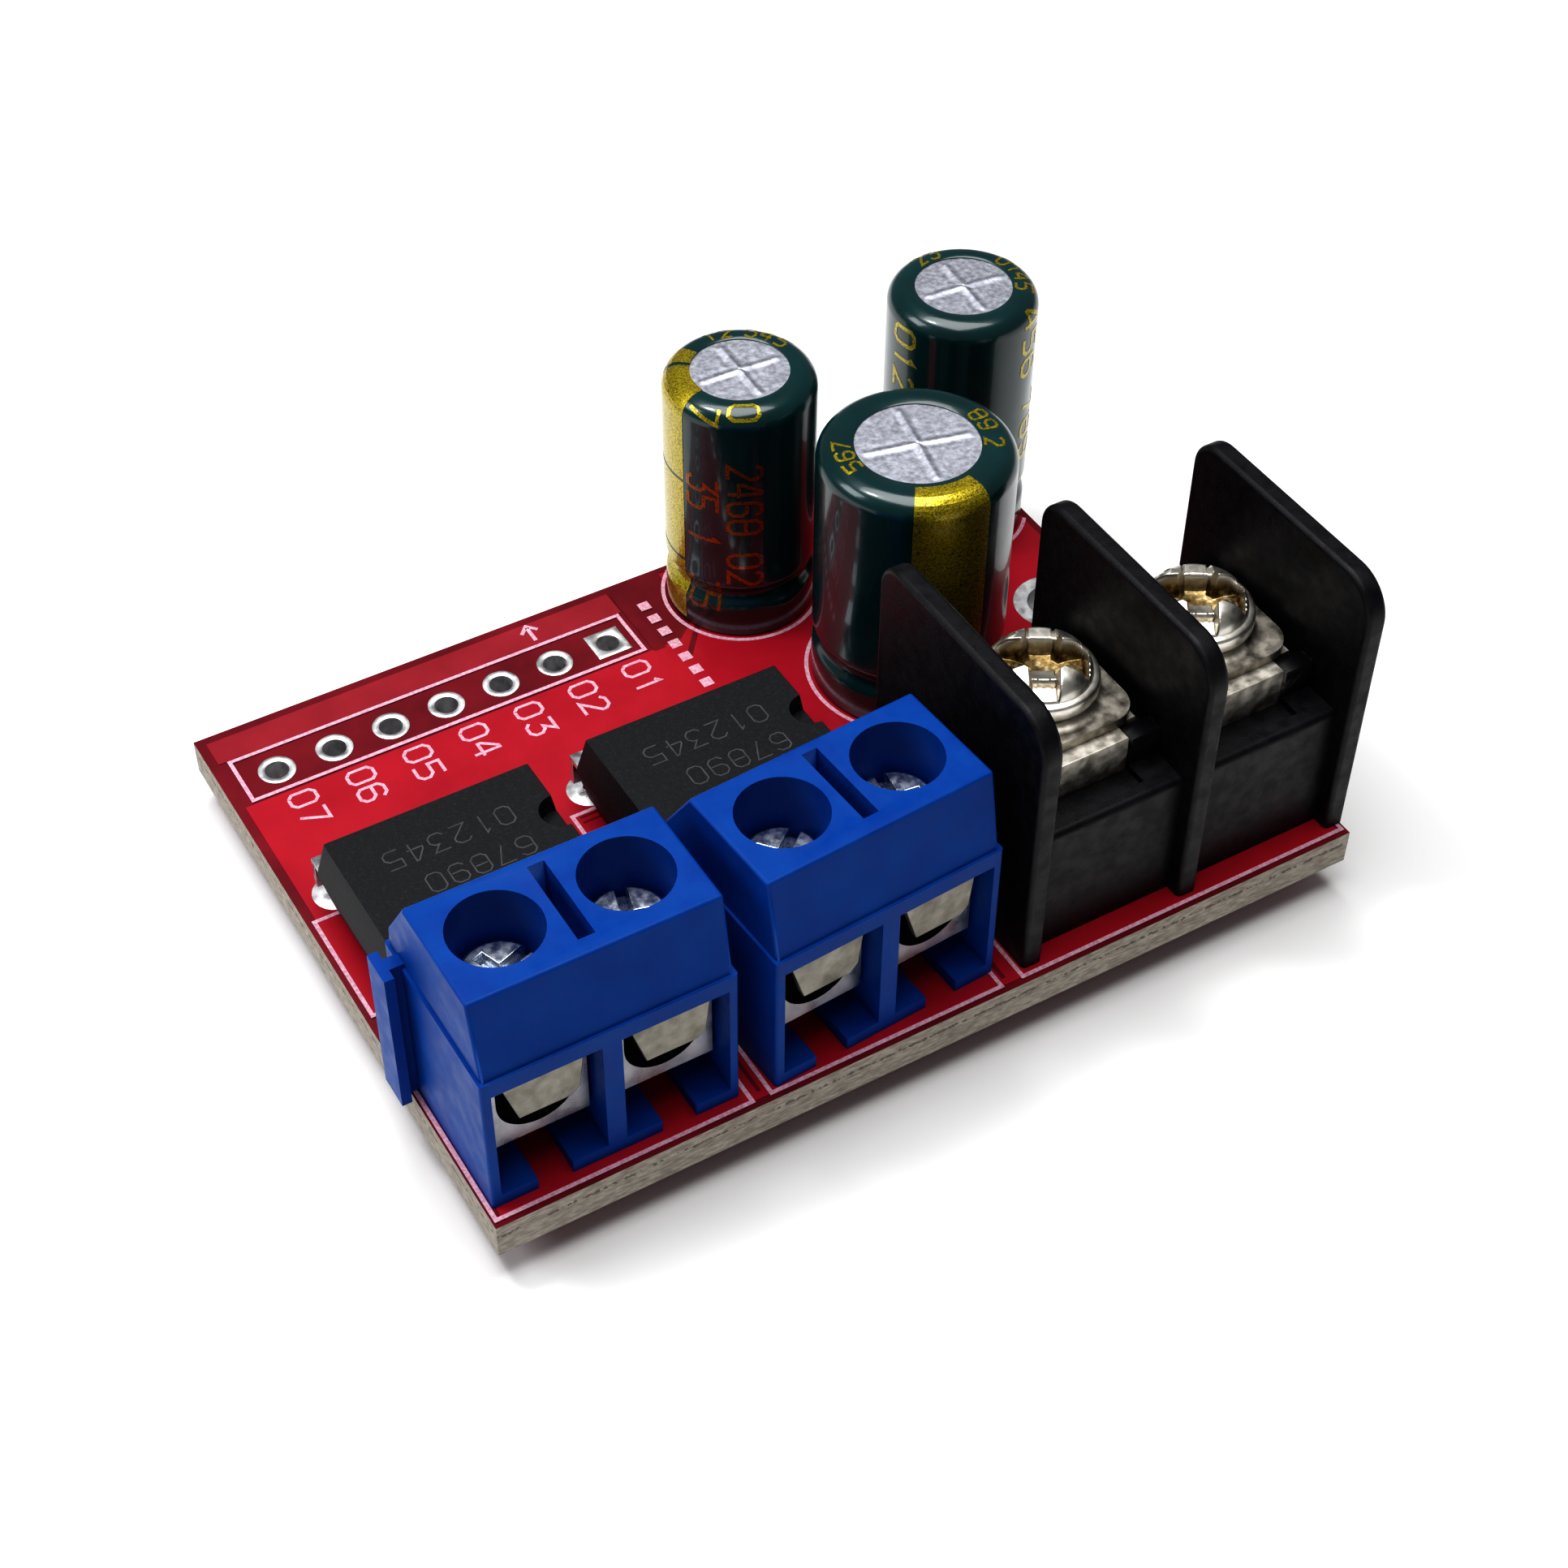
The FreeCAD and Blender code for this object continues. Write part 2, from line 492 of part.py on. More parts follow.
def cap_outline(radius, top, inner_top_r, crimp):
    """The outside of a can or sleeve from its base ring to its top face: lines and arcs, (r, z)."""
    inward = CAP_BEND * (1 - math.sin(math.pi / 4))
    low, high = about(CRIMP_Z, CRIMP_HALF)
    shoulder = V(radius - inward, 0, top - inward)
    waist = V(radius - crimp, 0, CRIMP_Z)
    side_top, flat_edge = V(radius, 0, top - CAP_BEND), V(radius - CAP_BEND, 0, top)
    return [
        Part.makeLine(V(radius, 0, CAP_FOOT), V(radius, 0, low)),
        Part.Arc(V(radius, 0, low), waist, V(radius, 0, high)).toShape(),
        Part.makeLine(V(radius, 0, high), side_top),
        Part.Arc(side_top, shoulder, flat_edge).toShape(),
        Part.makeLine(flat_edge, V(inner_top_r, 0, top)),
    ]


def cap_sleeve(centre, radius, top, disc):
    """The printed film shrunk round the can, open over the bare disc."""
    outside = cap_outline(radius, top, disc, CRIMP_DEPTH)
    inside = cap_outline(radius - SLEEVE_T, top - SLEEVE_T, disc, CRIMP_DEPTH)
    ends = [Part.makeLine(V(disc, 0, top), V(disc, 0, top - SLEEVE_T)),
            Part.makeLine(V(radius - SLEEVE_T, 0, CAP_FOOT), V(radius, 0, CAP_FOOT))]
    return turned(Part.__sortEdges__(outside + inside + ends), centre)


def cap_can(centre, radius, top):
    """The aluminium cup, with the crossed relief grooves of its vent."""
    outer = radius - SLEEVE_T
    face = top - SLEEVE_T
    outside = cap_outline(outer, face, 0, CRIMP_DEPTH)
    inner, roof = outer - CAN_T, face - CAN_T
    low, high = about(CRIMP_Z, CRIMP_HALF)
    inside = [
        Part.makeLine(V(inner, 0, CAP_FOOT), V(inner, 0, low)),
        Part.Arc(V(inner, 0, low), V(inner - CRIMP_DEPTH, 0, CRIMP_Z), V(inner, 0, high)).toShape(),
        Part.makeLine(V(inner, 0, high), V(inner, 0, roof - CAP_BEND / 2)),
        Part.makeLine(V(inner, 0, roof - CAP_BEND / 2), V(inner - CAP_BEND / 2, 0, roof)),
        Part.makeLine(V(inner - CAP_BEND / 2, 0, roof), V(0, 0, roof)),
    ]
    ends = [Part.makeLine(V(0, 0, face), V(0, 0, roof)),
            Part.makeLine(V(inner, 0, CAP_FOOT), V(outer, 0, CAP_FOOT))]
    can = turned(Part.__sortEdges__(outside + inside + ends), centre)
    reach = radius - VENT_MARGIN
    for size_x, size_y in ((reach, VENT_W / 2), (VENT_W / 2, reach)):
        groove = (face - VENT_DEPTH, face + OVER)
        can = can.cut(box(about(centre[0], size_x), about(centre[1], size_y), groove))
    return can


def cap_seal(name):
    """The rubber bung that the can is crimped on, with its two lead holes."""
    centre, radius = CAPACITORS[name][:2]
    inner = radius - SLEEVE_T - CAN_T
    wide, waist = inner - SEAL_GAP, inner - CRIMP_DEPTH - SEAL_GAP
    profile = chain([(0, SEAL_FOOT), (wide, SEAL_FOOT), (wide, CRIMP_Z - CRIMP_HALF - SEAL_GAP),
                     (waist, CRIMP_Z - CRIMP_HALF + SEAL_GAP), (waist, SEAL_TOP), (0, SEAL_TOP)])
    holes = [rod(at, (0, SEAL_TOP + OVER), CAP_LEAD_R) for at in cap_lead_places(name)]
    return turned(profile, centre).cut(holes)


def cap_winding(name):
    """The wound foil and paper roll."""
    centre, radius, top = CAPACITORS[name][:3]
    return rod(centre, (SEAL_TOP + 0.2, top - 1.0), radius - SLEEVE_T - CAN_T - WINDING_GAP)


def cap_leads(name):
    """The two tinned leads, from the board's underside up to the winding."""
    wires = [rod(at, (TAIL_END, SEAL_TOP + 0.2), CAP_LEAD_R) for at in cap_lead_places(name)]
    return Part.makeCompound(wires)


# ---------------------------------------------------------------- under the board

def regulator_case():
    (x, y), (half_x, half_y) = REGULATOR_AT, REGULATOR_HALF
    case = box(about(x, half_x), about(y, half_y), (UNDER - REGULATOR_TOP, UNDER - REGULATOR_GAP))
    rim = [e for e in case.Edges if e.BoundBox.ZMax < UNDER - REGULATOR_TOP + LAP]
    return case.makeChamfer(REGULATOR_EDGE, rim)


def regulator_leads():
    """Three small gull-wing feet: two on one side and one on the other."""
    x, y = REGULATOR_AT
    half_y = REGULATOR_HALF[1]
    feet = []
    for dx, side in ((-FOOT_STEP, -1), (FOOT_STEP, -1), (0, 1)):
        near, far = sorted((y + side * half_y, y + side * (half_y + FOOT_REACH)))
        feet.append(box(about(x + dx, FOOT_HALF), (near, far), (UNDER - FOOT_T, UNDER)))
    return Part.makeCompound(feet)


def ceramic_capacitors():
    """Two chip capacitors, each one block with its end caps in the same solid."""
    half_x, half_y = CERAMIC_HALF
    blocks = [box(about(x, half_x), about(y, half_y), (UNDER - CERAMIC_T, UNDER)) for x, y in CERAMICS_AT]
    return Part.makeCompound(blocks)


# ---------------------------------------------------------------- export

os.makedirs("parts", exist_ok=True)

export("circuit_board", circuit_board())
export("header_eyelets", header_eyelets())
export("mounting_eyelet", eyelet(MOUNT_AT, MOUNT_HOLE_R, MOUNT_DRILL_R, MOUNT_PAD_R))
export("solder_joints", solder_joints())

for chip, (chip_x, chip_y) in CHIP_CENTRES.items():
    spot = FreeCAD.Placement(V(chip_x, chip_y, 0), FreeCAD.Rotation())
    export("driver_%s_case" % chip, chip_case(), spot)
    export("driver_%s_leads" % chip, chip_leads(), spot)
    export("driver_%s_paddle" % chip, chip_paddle(), spot)
    export("driver_%s_die" % chip, chip_die(), spot)

for side in MOTOR_PLACES:
    spot = motor_placement(side)
    export("motor_%s_housing" % side, motor_housing(), spot)
    for pole, pole_x in enumerate(POLES_X):
        tag = (side, pole + 1)
        export("motor_%s_cage_%d" % tag, motor_cage(pole_x), spot)
        export("motor_%s_guard_%d" % tag, motor_guard(pole_x), spot)
        export("motor_%s_screw_%d" % tag, motor_screw(pole_x, MOTOR_SLOT_ANGLES[side][pole]), spot)

export("supply_housing", supply_housing())
for pole, pole_x in enumerate(supply_middles()):
    export("supply_plate_%d" % (pole + 1), supply_plate(pole_x))
    export("supply_washer_%d" % (pole + 1), supply_washer(pole_x))
    export("supply_screw_%d" % (pole + 1), supply_screw(pole_x))

for name, (centre, radius, top, disc, _, _) in CAPACITORS.items():
    export("capacitor_%s_sleeve" % name, cap_sleeve(centre, radius, top, disc))
    export("capacitor_%s_can" % name, cap_can(centre, radius, top))
    export("capacitor_%s_seal" % name, cap_seal(name))
    export("capacitor_%s_winding" % name, cap_winding(name))
    export("capacitor_%s_leads" % name, cap_leads(name))

export("regulator_case", regulator_case())
export("regulator_leads", regulator_leads())
export("ceramic_capacitors", ceramic_capacitors())
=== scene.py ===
# %% [markdown]
# # A small dual motor driver board
#
# The object is a red circuit board with two bridge chips, three upright capacitors, two blue wire
# terminals and one black screw terminal. The design, with every size and joint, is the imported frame,
# so this lesson only gives each piece its surface: rounded edges, print, threads and finishes.

# %% Load the frame
import bpy
import bmesh
import json
import math
from mathutils import Matrix, Quaternion, Vector


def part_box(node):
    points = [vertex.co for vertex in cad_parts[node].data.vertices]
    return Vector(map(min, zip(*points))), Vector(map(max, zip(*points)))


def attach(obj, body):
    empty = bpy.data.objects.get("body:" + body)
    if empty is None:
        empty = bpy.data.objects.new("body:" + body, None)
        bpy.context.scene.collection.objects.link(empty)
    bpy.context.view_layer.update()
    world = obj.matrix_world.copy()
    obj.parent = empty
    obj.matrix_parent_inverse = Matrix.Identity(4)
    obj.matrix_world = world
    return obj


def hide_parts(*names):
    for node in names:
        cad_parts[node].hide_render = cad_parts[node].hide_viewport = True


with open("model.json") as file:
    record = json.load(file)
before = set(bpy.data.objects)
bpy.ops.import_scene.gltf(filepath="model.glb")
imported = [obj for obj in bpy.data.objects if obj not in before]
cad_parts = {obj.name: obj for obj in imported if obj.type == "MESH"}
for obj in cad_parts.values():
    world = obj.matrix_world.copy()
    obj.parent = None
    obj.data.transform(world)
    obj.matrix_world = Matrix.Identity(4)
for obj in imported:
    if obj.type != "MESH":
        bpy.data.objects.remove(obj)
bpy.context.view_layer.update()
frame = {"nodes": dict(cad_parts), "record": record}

MM = 0.001
BODY_OF = {n: body for body, members in frame["record"]["behaviour"]["bodies"].items() for n in members}
board_low, board_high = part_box("circuit_board")
CORNER = Vector((board_low.x, board_low.y, board_high.z))


def at(x, y, z=0.0):
    """A point given in millimetres from the front left corner of the board's upper face."""
    return CORNER + Vector((x, y, z)) * MM


# %% [markdown]
# ## Camera, light and floor
#
# A product picture: the camera looks down at about 45 degrees from the front left, with a long lens
# so that the uprights stay nearly parallel. Light is soft and mostly from above. It could be a ring
# of spots, but broad area lights give the long calm highlights that glossy sleeves need.

# %% Camera
EYE = (-19.894, -52.341, 78.342)
SIGHT = Vector((0.36126, 0.60114, -0.71282))
ROLL = math.radians(0.59)
LENS_MM = 62.09

camera = bpy.data.objects.new("camera", bpy.data.cameras.new("camera"))
bpy.context.scene.collection.objects.link(camera)
camera.location = at(*EYE)
camera.rotation_mode = "QUATERNION"
camera.rotation_quaternion = SIGHT.to_track_quat("-Z", "Y") @ Quaternion((0, 0, 1), ROLL)
camera.data.lens = LENS_MM
camera.data.sensor_width = 36.0
camera.data.clip_start = 0.005
bpy.context.scene.camera = camera
bpy.context.scene.view_settings.view_transform = "Standard"
bpy.context.scene.view_settings.look = "High Contrast"
print("camera: lens", LENS_MM, "mm, at", [round(v, 3) for v in camera.location], "m")


# %% Lights and floor
def area_light(name, from_where, size, power, tint=(1.0, 1.0, 1.0)):
    """A square soft light at a point in millimetres, aimed at the middle of the board."""
    lamp = bpy.data.lights.new(name, "AREA")
    lamp.size = size * MM
    lamp.energy = power
    lamp.color = tint
    holder = bpy.data.objects.new(name, lamp)
    holder.location = at(*from_where)
    holder.rotation_mode = "QUATERNION"
    holder.rotation_quaternion = (at(19, 14) - holder.location).to_track_quat("-Z", "Y")
    bpy.context.scene.collection.objects.link(holder)


area_light("overhead", (15, 30, 210), 170, 0.40)
area_light("left_window", (-150, 90, 130), 90, 0.12, (0.95, 0.98, 1.0))
area_light("small_key", (-40, 60, 180), 24, 0.045)

world = bpy.data.worlds.new("studio")
world.use_nodes = True
world.node_tree.nodes["Background"].inputs["Color"].default_value = (1, 1, 1, 1)
world.node_tree.nodes["Background"].inputs["Strength"].default_value = 0.15
bpy.context.scene.world = world

floor_mesh = bpy.data.meshes.new("floor")
FLOOR_HALF_M = 1.5
corners = [(i * FLOOR_HALF_M, j * FLOOR_HALF_M, 0) for i, j in ((-1, -1), (1, -1), (1, 1), (-1, 1))]
floor_mesh.from_pydata(corners, [], [(0, 1, 2, 3)])
floor = bpy.data.objects.new("floor", floor_mesh)
bpy.context.scene.collection.objects.link(floor)
print("lights:", len(bpy.data.lights))

# %% [markdown]
# ## Tools for finishes
#
# Every finish starts from what the real material is. Colours are written as sRGB hex and turned to
# linear by one function, and one function adds a node with its settings and links. Patterns read
# object coordinates, which are metres here, so a scale comes straight from a size in millimetres.


# %% Node helpers
def linear(code):
    """An sRGB hex colour as linear red, green, blue and alpha."""
    parts = [int(code[i:i + 2], 16) / 255 for i in (0, 2, 4)]
    return tuple(c / 12.92 if c <= 0.04045 else ((c + 0.055) / 1.055) ** 2.4 for c in parts) + (1.0,)


def add(tree, kind, inputs=None, **settings):
    """Adds one node: settings are set on it, and each input takes a value or another node's output."""
    made = tree.nodes.new(kind)
    for key, value in settings.items():
        setattr(made, key, value)
    for key, value in (inputs or {}).items():
        if isinstance(value, bpy.types.NodeSocket):
            tree.links.new(value, made.inputs[key])
        else:
            made.inputs[key].default_value = value
    return made


def start(name, roughness, metallic=0.0, **sockets):
    """A new material with its uniform values on the shader's own sockets."""
    material = bpy.data.materials.new(name)
    material.use_nodes = True
    tree = material.node_tree
    shader = tree.nodes["Principled BSDF"]
    shader.inputs["Roughness"].default_value = roughness
    shader.inputs["Metallic"].default_value = metallic
    for key, value in sockets.items():
        shader.inputs[key.replace("_", " ")].default_value = value
    place = add(tree, "ShaderNodeTexCoord").outputs["Object"]
    return material, tree, shader, place


def mottle(tree, place, grain_mm, stops, detail=3.0):
    """A colour that wanders over the surface, as (position, hex) stops of a noise of that grain."""
    noise = add(tree, "ShaderNodeTexNoise", {"Vector": place, "Scale": 1 / (grain_mm * MM), "Detail": detail})
    ramp = add(tree, "ShaderNodeValToRGB", {"Fac": noise.outputs["Fac"]})
    marks = ramp.color_ramp.elements
    marks[0].position, marks[0].color = stops[0][0], linear(stops[0][1])
    marks[1].position, marks[1].color = stops[-1][0], linear(stops[-1][1])
    for position, code in stops[1:-1]:
        marks.new(position).color = linear(code)
    return ramp.outputs["Color"]


def relief(tree, place, shader, grain_mm, height_mm, detail=2.0):
    """A fine unevenness of that grain and height, given to the shader's normal."""
    noise = add(tree, "ShaderNodeTexNoise", {"Vector": place, "Scale": 1 / (grain_mm * MM), "Detail": detail})
    bump = add(tree, "ShaderNodeBump", {"Height": noise.outputs["Fac"], "Distance": height_mm * MM})
    tree.links.new(bump.outputs["Normal"], shader.inputs["Normal"])


def varied_roughness(tree, place, shader, grain_mm, low, high):
    """Roughness that wanders between two values."""
    noise = add(tree, "ShaderNodeTexNoise", {"Vector": place, "Scale": 1 / (grain_mm * MM), "Detail": 4.0})
    spread = add(tree, "ShaderNodeMapRange",
                 {"Value": noise.outputs["Fac"], "From Min": 0.35, "From Max": 0.65,
                  "To Min": low, "To Max": high})
    tree.links.new(spread.outputs["Result"], shader.inputs["Roughness"])


def coloured(tree, shader, colour):
    """Links a colour to the shader."""
    tree.links.new(colour, shader.inputs["Base Color"])


def surface(name, roughness, grain_mm, stops, detail, bumps, wander=None, metallic=0.0, **sockets):
    """A whole finish: a wandering colour, a relief (grain, height and detail), and roughness that may
    wander too (grain, low and high)."""
    material, tree, shader, place = start(name, roughness, metallic, **sockets)
    coloured(tree, shader, mottle(tree, place, grain_mm, stops, detail))
    if wander:
        varied_roughness(tree, place, shader, *wander)
    relief(tree, place, shader, *bumps)
    return material


# %% [markdown]
# ## Finishes of the board
#
# Solder mask is a clear red lacquer over glass laminate. Over full copper the red is bright, over
# thin copper duller, and over bare laminate maroon, so these are three finishes. The sawn edge of
# the laminate is grey-beige glass cloth in layers, drawn a little coarser than it is.


# %% Board finishes
def glass_laminate():
    """Sawn glass cloth: dull grey-beige grain in layers, with one broken darker line of stitches."""
    material, tree, shader, place = start("glass_laminate_sawn", 0.75, IOR=1.5, Specular_IOR_Level=0.3)
    layers = add(tree, "ShaderNodeMapping", {"Vector": place, "Scale": (1.0, 1.0, 4.0)}).outputs["Vector"]
    greys = [(0.25, "857D74"), (0.45, "9D958B"), (0.60, "AFA79C"), (0.78, "C6BEB3")]
    grain = mottle(tree, layers, 0.45, greys, 6.0)
    depth = add(tree, "ShaderNodeSeparateXYZ", {"Vector": place}).outputs["Z"]
    cloth = add(tree, "ShaderNodeMath", {0: depth, 1: CORNER.z - 0.55 * MM}, operation="SUBTRACT")
    near = add(tree, "ShaderNodeMath", {0: cloth.outputs["Value"]}, operation="ABSOLUTE")
    stitches = add(tree, "ShaderNodeTexNoise", {"Vector": place, "Scale": 1 / (0.22 * MM), "Detail": 2.0})
    reach = add(tree, "ShaderNodeMapRange",
                {"Value": stitches.outputs["Fac"], "From Min": 0.45, "From Max": 0.62, "To Min": 0.0,
                 "To Max": 0.10 * MM})
    inside = add(tree, "ShaderNodeMath", {0: near.outputs["Value"], 1: reach.outputs["Result"]},
                 operation="LESS_THAN")
    blend = add(tree, "ShaderNodeMix", {0: inside.outputs["Value"], 6: grain, 7: linear("746D65")},
                data_type="RGBA")
    tree.links.new(blend.outputs[2], shader.inputs["Base Color"])
    relief(tree, layers, shader, 0.3, 0.02, 4.0)
    return material


def solder_mask(name, dark, light):
    """Red lacquer: the eye gets an even gloss with a faint ripple and slow drifts of depth."""
    return surface(name, 0.28, 2.5, [(0.30, dark), (0.70, light)], 3.0, (0.35, 0.004), IOR=1.5,
                   Specular_IOR_Level=0.3)


def tin_plate(name, dark, light, low, high, grain=0.5):
    """Tin or solder: nearly white metal, clouded by patches that are duller than the rest."""
    clouds = [(0.35, dark), (0.65, light)]
    return surface(name, 0.3, grain, clouds, 4.0, (grain, 0.004), (grain, low, high), 1.0)


MASK_BARE = solder_mask("solder_mask_over_laminate", "60141F", "781B27")
MASK_THIN = solder_mask("solder_mask_over_thin_copper", "88242F", "982C37")
MASK_COPPER = solder_mask("solder_mask_over_copper", "9E1A2B", "AC2031")
LAMINATE = glass_laminate()
PAD_TIN = tin_plate("levelled_tin", "C9CACC", "EEEFF0", 0.40, 0.55)
SOLDER = tin_plate("bright_solder", "B9BCC2", "E6E8EC", 0.16, 0.34, 0.6)
LEAD_TIN = tin_plate("tinned_lead", "B4B6BA", "DCDEE2", 0.22, 0.40, 0.6)
CAGE_TIN = tin_plate("tinned_brass_strip", "8C8C90", "B4B4B8", 0.24, 0.36, 1.2)
PLATE_TIN = tin_plate("stained_tin_strip", "B3ADA2", "E4DFD5", 0.38, 0.55, 0.5)
# Washers: the nickel darkened as painted shade of the dark surroundings it mirrors
WASHER_TIN = tin_plate("nickel_strip_painted_dark", "8A847A", "CBC5BA", 0.30, 0.46, 0.6)
# Ink: matte pinkish white, uneven where the red shows through
INK = surface("screen_print_ink", 0.55, 0.12, [(0.30, "C08499"), (0.62, "DDB2C2")], 3.0, (0.1, 0.004),
              IOR=1.5)
print("board finishes:", len(bpy.data.materials))

# %% [markdown]
# ## Finishes of the plastics
#
# Moulded plastics differ mostly in gloss and grain. Nylon is satin with a faint orange peel. The
# black thermoset is duller and a little dusty. Chip epoxy is full of glass powder, so it is dead
# matte with a fine speckle.


# %% Plastic finishes
# Nylon: deep blue with a satin bloom and a fine orange peel
BLUE = surface("moulded_blue_nylon", 0.42, 1.6, [(0.30, "023D8C"), (0.70, "034796")], 4.0,
               (0.16, 0.006, 3.0), (0.8, 0.38, 0.50), IOR=1.5, Specular_IOR_Level=0.14)
# Thermoset: near black, with a little grey dust and soft edges of light
BLACK = surface("moulded_black_thermoset", 0.5, 0.5, [(0.35, "08080C"), (0.66, "0F0F15"), (0.80, "1C1C24")],
                7.0, (0.12, 0.008, 4.0), (0.6, 0.38, 0.56), IOR=1.45, Specular_IOR_Level=0.35)
# Epoxy: dead matte charcoal with a fine speckle of glass powder
EPOXY = surface("filled_black_epoxy", 0.62, 0.10, [(0.34, "0F1013"), (0.60, "17181C"), (0.74, "26272B")],
                3.0, (0.08, 0.010, 3.0), IOR=1.5, Specular_IOR_Level=0.3)
print("with the plastics:", len(bpy.data.materials))

# %% [markdown]
# ## Finishes of the metals
#
# Nickel is warmer than zinc, and zinc is a cold white. The guards are rolled strip with a dull,
# stained face. The supply screws are bright nickel, and in their recess the plating is thin and
# looks like old gold, which the mesh marks with an attribute named recess.


# %% Metal finishes
def nickel_plate():
    """Bright nickel: warm white pillows, and dirty old gold deep in the recess."""
    material, tree, shader, place = start("bright_nickel_plate", 0.2, metallic=1.0)
    bright = mottle(tree, place, 0.5, [(0.30, "E6E1D6"), (0.70, "F6F2EA")], 4.0)
    gold = mottle(tree, place, 0.25, [(0.30, "463A26"), (0.55, "8A7750"), (0.75, "D6CBAE")], 4.0)
    depth = add(tree, "ShaderNodeAttribute", attribute_name="recess")
    blend = add(tree, "ShaderNodeMix", data_type="RGBA")
    tree.links.new(depth.outputs["Fac"], blend.inputs[0])
    tree.links.new(bright, blend.inputs[6])
    tree.links.new(gold, blend.inputs[7])
    coloured(tree, shader, blend.outputs[2])
    varied_roughness(tree, place, shader, 0.35, 0.30, 0.40)
    relief(tree, place, shader, 0.3, 0.006, 3.0)
    return material


# Rolled strip: warm dull grey with stains, which blurs what it mirrors
GUARD = surface("rolled_nickel_strip", 0.45, 0.9, [(0.28, "77736A"), (0.50, "8E8A80"), (0.72, "9D998E")],
                5.0, (0.14, 0.012, 3.0), (0.4, 0.34, 0.55), 1.0)
# Zinc: a cold white gleam at the bottom of each well
ZINC = surface("bright_zinc_plate", 0.2, 0.4, [(0.30, "C3CAD4"), (0.66, "F0F4F8")], 3.0, (0.2, 0.004),
               (0.3, 0.20, 0.34), 1.0)
NICKEL = nickel_plate()
# Can top: pale blue-grey and cloudy, so that it never mirrors sharply
ALUMINIUM = surface("pressed_aluminium", 0.4, 0.3, [(0.30, "B2B4BE"), (0.55, "C8CAD4"), (0.75, "DCDDE6")],
                    5.0, (0.20, 0.012, 4.0), (0.2, 0.42, 0.56), 1.0)
print("with the metals:", len(bpy.data.materials))

# %% [markdown]
# ## Finishes of the capacitors and of what is hidden
#
# The sleeve is shrunk polyester film: deep green, very glossy, with ripples where it shrank. Its
# gold print is metal powder in varnish, with pinholes that let the green through.


# %% Sleeve, print and hidden finishes
def gold_print(name, stops):
    """Metal powder in varnish: glints of gold, with pinholes of green between them."""
    return surface(name, 0.34, 0.07, stops, 2.0, (0.1, 0.01), None, 0.75, Coat_Weight=0.5,
                   Coat_Roughness=0.06)


def plain_hidden(name, dark, light, roughness, metallic=0.0):
    """A quiet finish for what is seen only in a section or through a gap."""
    return surface(name, roughness, 0.5, [(0.35, dark), (0.65, light)], 3.0, (0.2, 0.01), None, metallic)


# Film: deep green with long sharp highlights that waver with its ripples
FILM = surface("shrunk_green_film", 0.24, 3.0, [(0.30, "05292B"), (0.70, "083537")], 3.0, (1.2, 0.02, 1.0),
               IOR=1.5, Coat_Weight=0.45, Coat_Roughness=0.05)
GOLD = gold_print("gold_print", [(0.30, "1E3A28"), (0.42, "9C8A18"), (0.70, "CDBB34")])
# The gold print darkened and turned orange: painted reflection of the red board and painted shade
GOLD_WITH_PAINTED_REFLECTION = gold_print("gold_print_with_painted_red_reflection", [(0.30, "2E2218"), (0.42, "8A4E1A"), (0.70, "A86A26")])
LASER = plain_hidden("laser_mark", "37383B", "4A4B4E", 0.7)
RUBBER = plain_hidden("black_rubber", "111111", "1E1E1E", 0.8)
FOIL = plain_hidden("foil_and_paper", "8E8468", "B9AF94", 0.6)
COPPER = plain_hidden("bare_copper", "9A5A34", "C67C4E", 0.35, 1.0)
SILICON = plain_hidden("polished_silicon", "3A3D48", "565A68", 0.15, 0.6)
CERAMIC = plain_hidden("fired_ceramic", "8E6F4A", "A98A60", 0.55)
print("all finishes:", len(bpy.data.materials))


# %% [markdown]
# ## Tools for shapes
#
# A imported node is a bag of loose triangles, which is right for size but not for looks. `refined`
# makes a clean copy: it joins the points, takes away the lines inside flat faces, rounds the sharp
# edges by a real radius and hides the node that it stands for. A mould, a shear or a press always
# leaves such a radius, and it is what catches the light.


# %% Shape helpers
def link(name, mesh):
    """A new object in the scene that shows a mesh."""
    made = bpy.data.objects.new(name, mesh)
    bpy.context.scene.collection.objects.link(made)
    return made


def settle(name, mesh, body, finish):
    """Makes a mesh a piece of the object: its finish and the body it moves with."""
    made = link(name, mesh)
    mesh.materials.clear()
    mesh.materials.append(finish)
    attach(made, body)
    return made


def evaluated(holder):
    """The plain mesh of an object with its modifiers, which is then removed."""
    graph = bpy.context.evaluated_depsgraph_get()
    mesh = bpy.data.meshes.new_from_object(holder.evaluated_get(graph))
    bpy.data.objects.remove(holder)
    return mesh


def built(bm, name="built"):
    """The mesh of a finished bmesh, its faces turned outwards."""
    bmesh.ops.recalc_face_normals(bm, faces=bm.faces)
    mesh = bpy.data.meshes.new(name)
    bm.to_mesh(mesh)
    bm.free()
    return mesh


def joined(meshes):
    """One mesh from several."""
    bm = bmesh.new()
    for mesh in meshes:
        bm.from_mesh(mesh)
    made = bpy.data.meshes.new("joined")
    bm.to_mesh(made)
    bm.free()
    return made


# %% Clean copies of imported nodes
def clean_copy(node):
    """A node's mesh with its points joined and its flat faces whole."""
    bm = bmesh.new()
    bm.from_mesh(frame["nodes"][node].data)
    bmesh.ops.remove_doubles(bm, verts=bm.verts, dist=0.002 * MM)
    bmesh.ops.dissolve_limit(bm, angle_limit=math.radians(0.4), verts=bm.verts, edges=bm.edges)
    mesh = bpy.data.meshes.new(node)
    bm.to_mesh(mesh)
    bm.free()
    return mesh


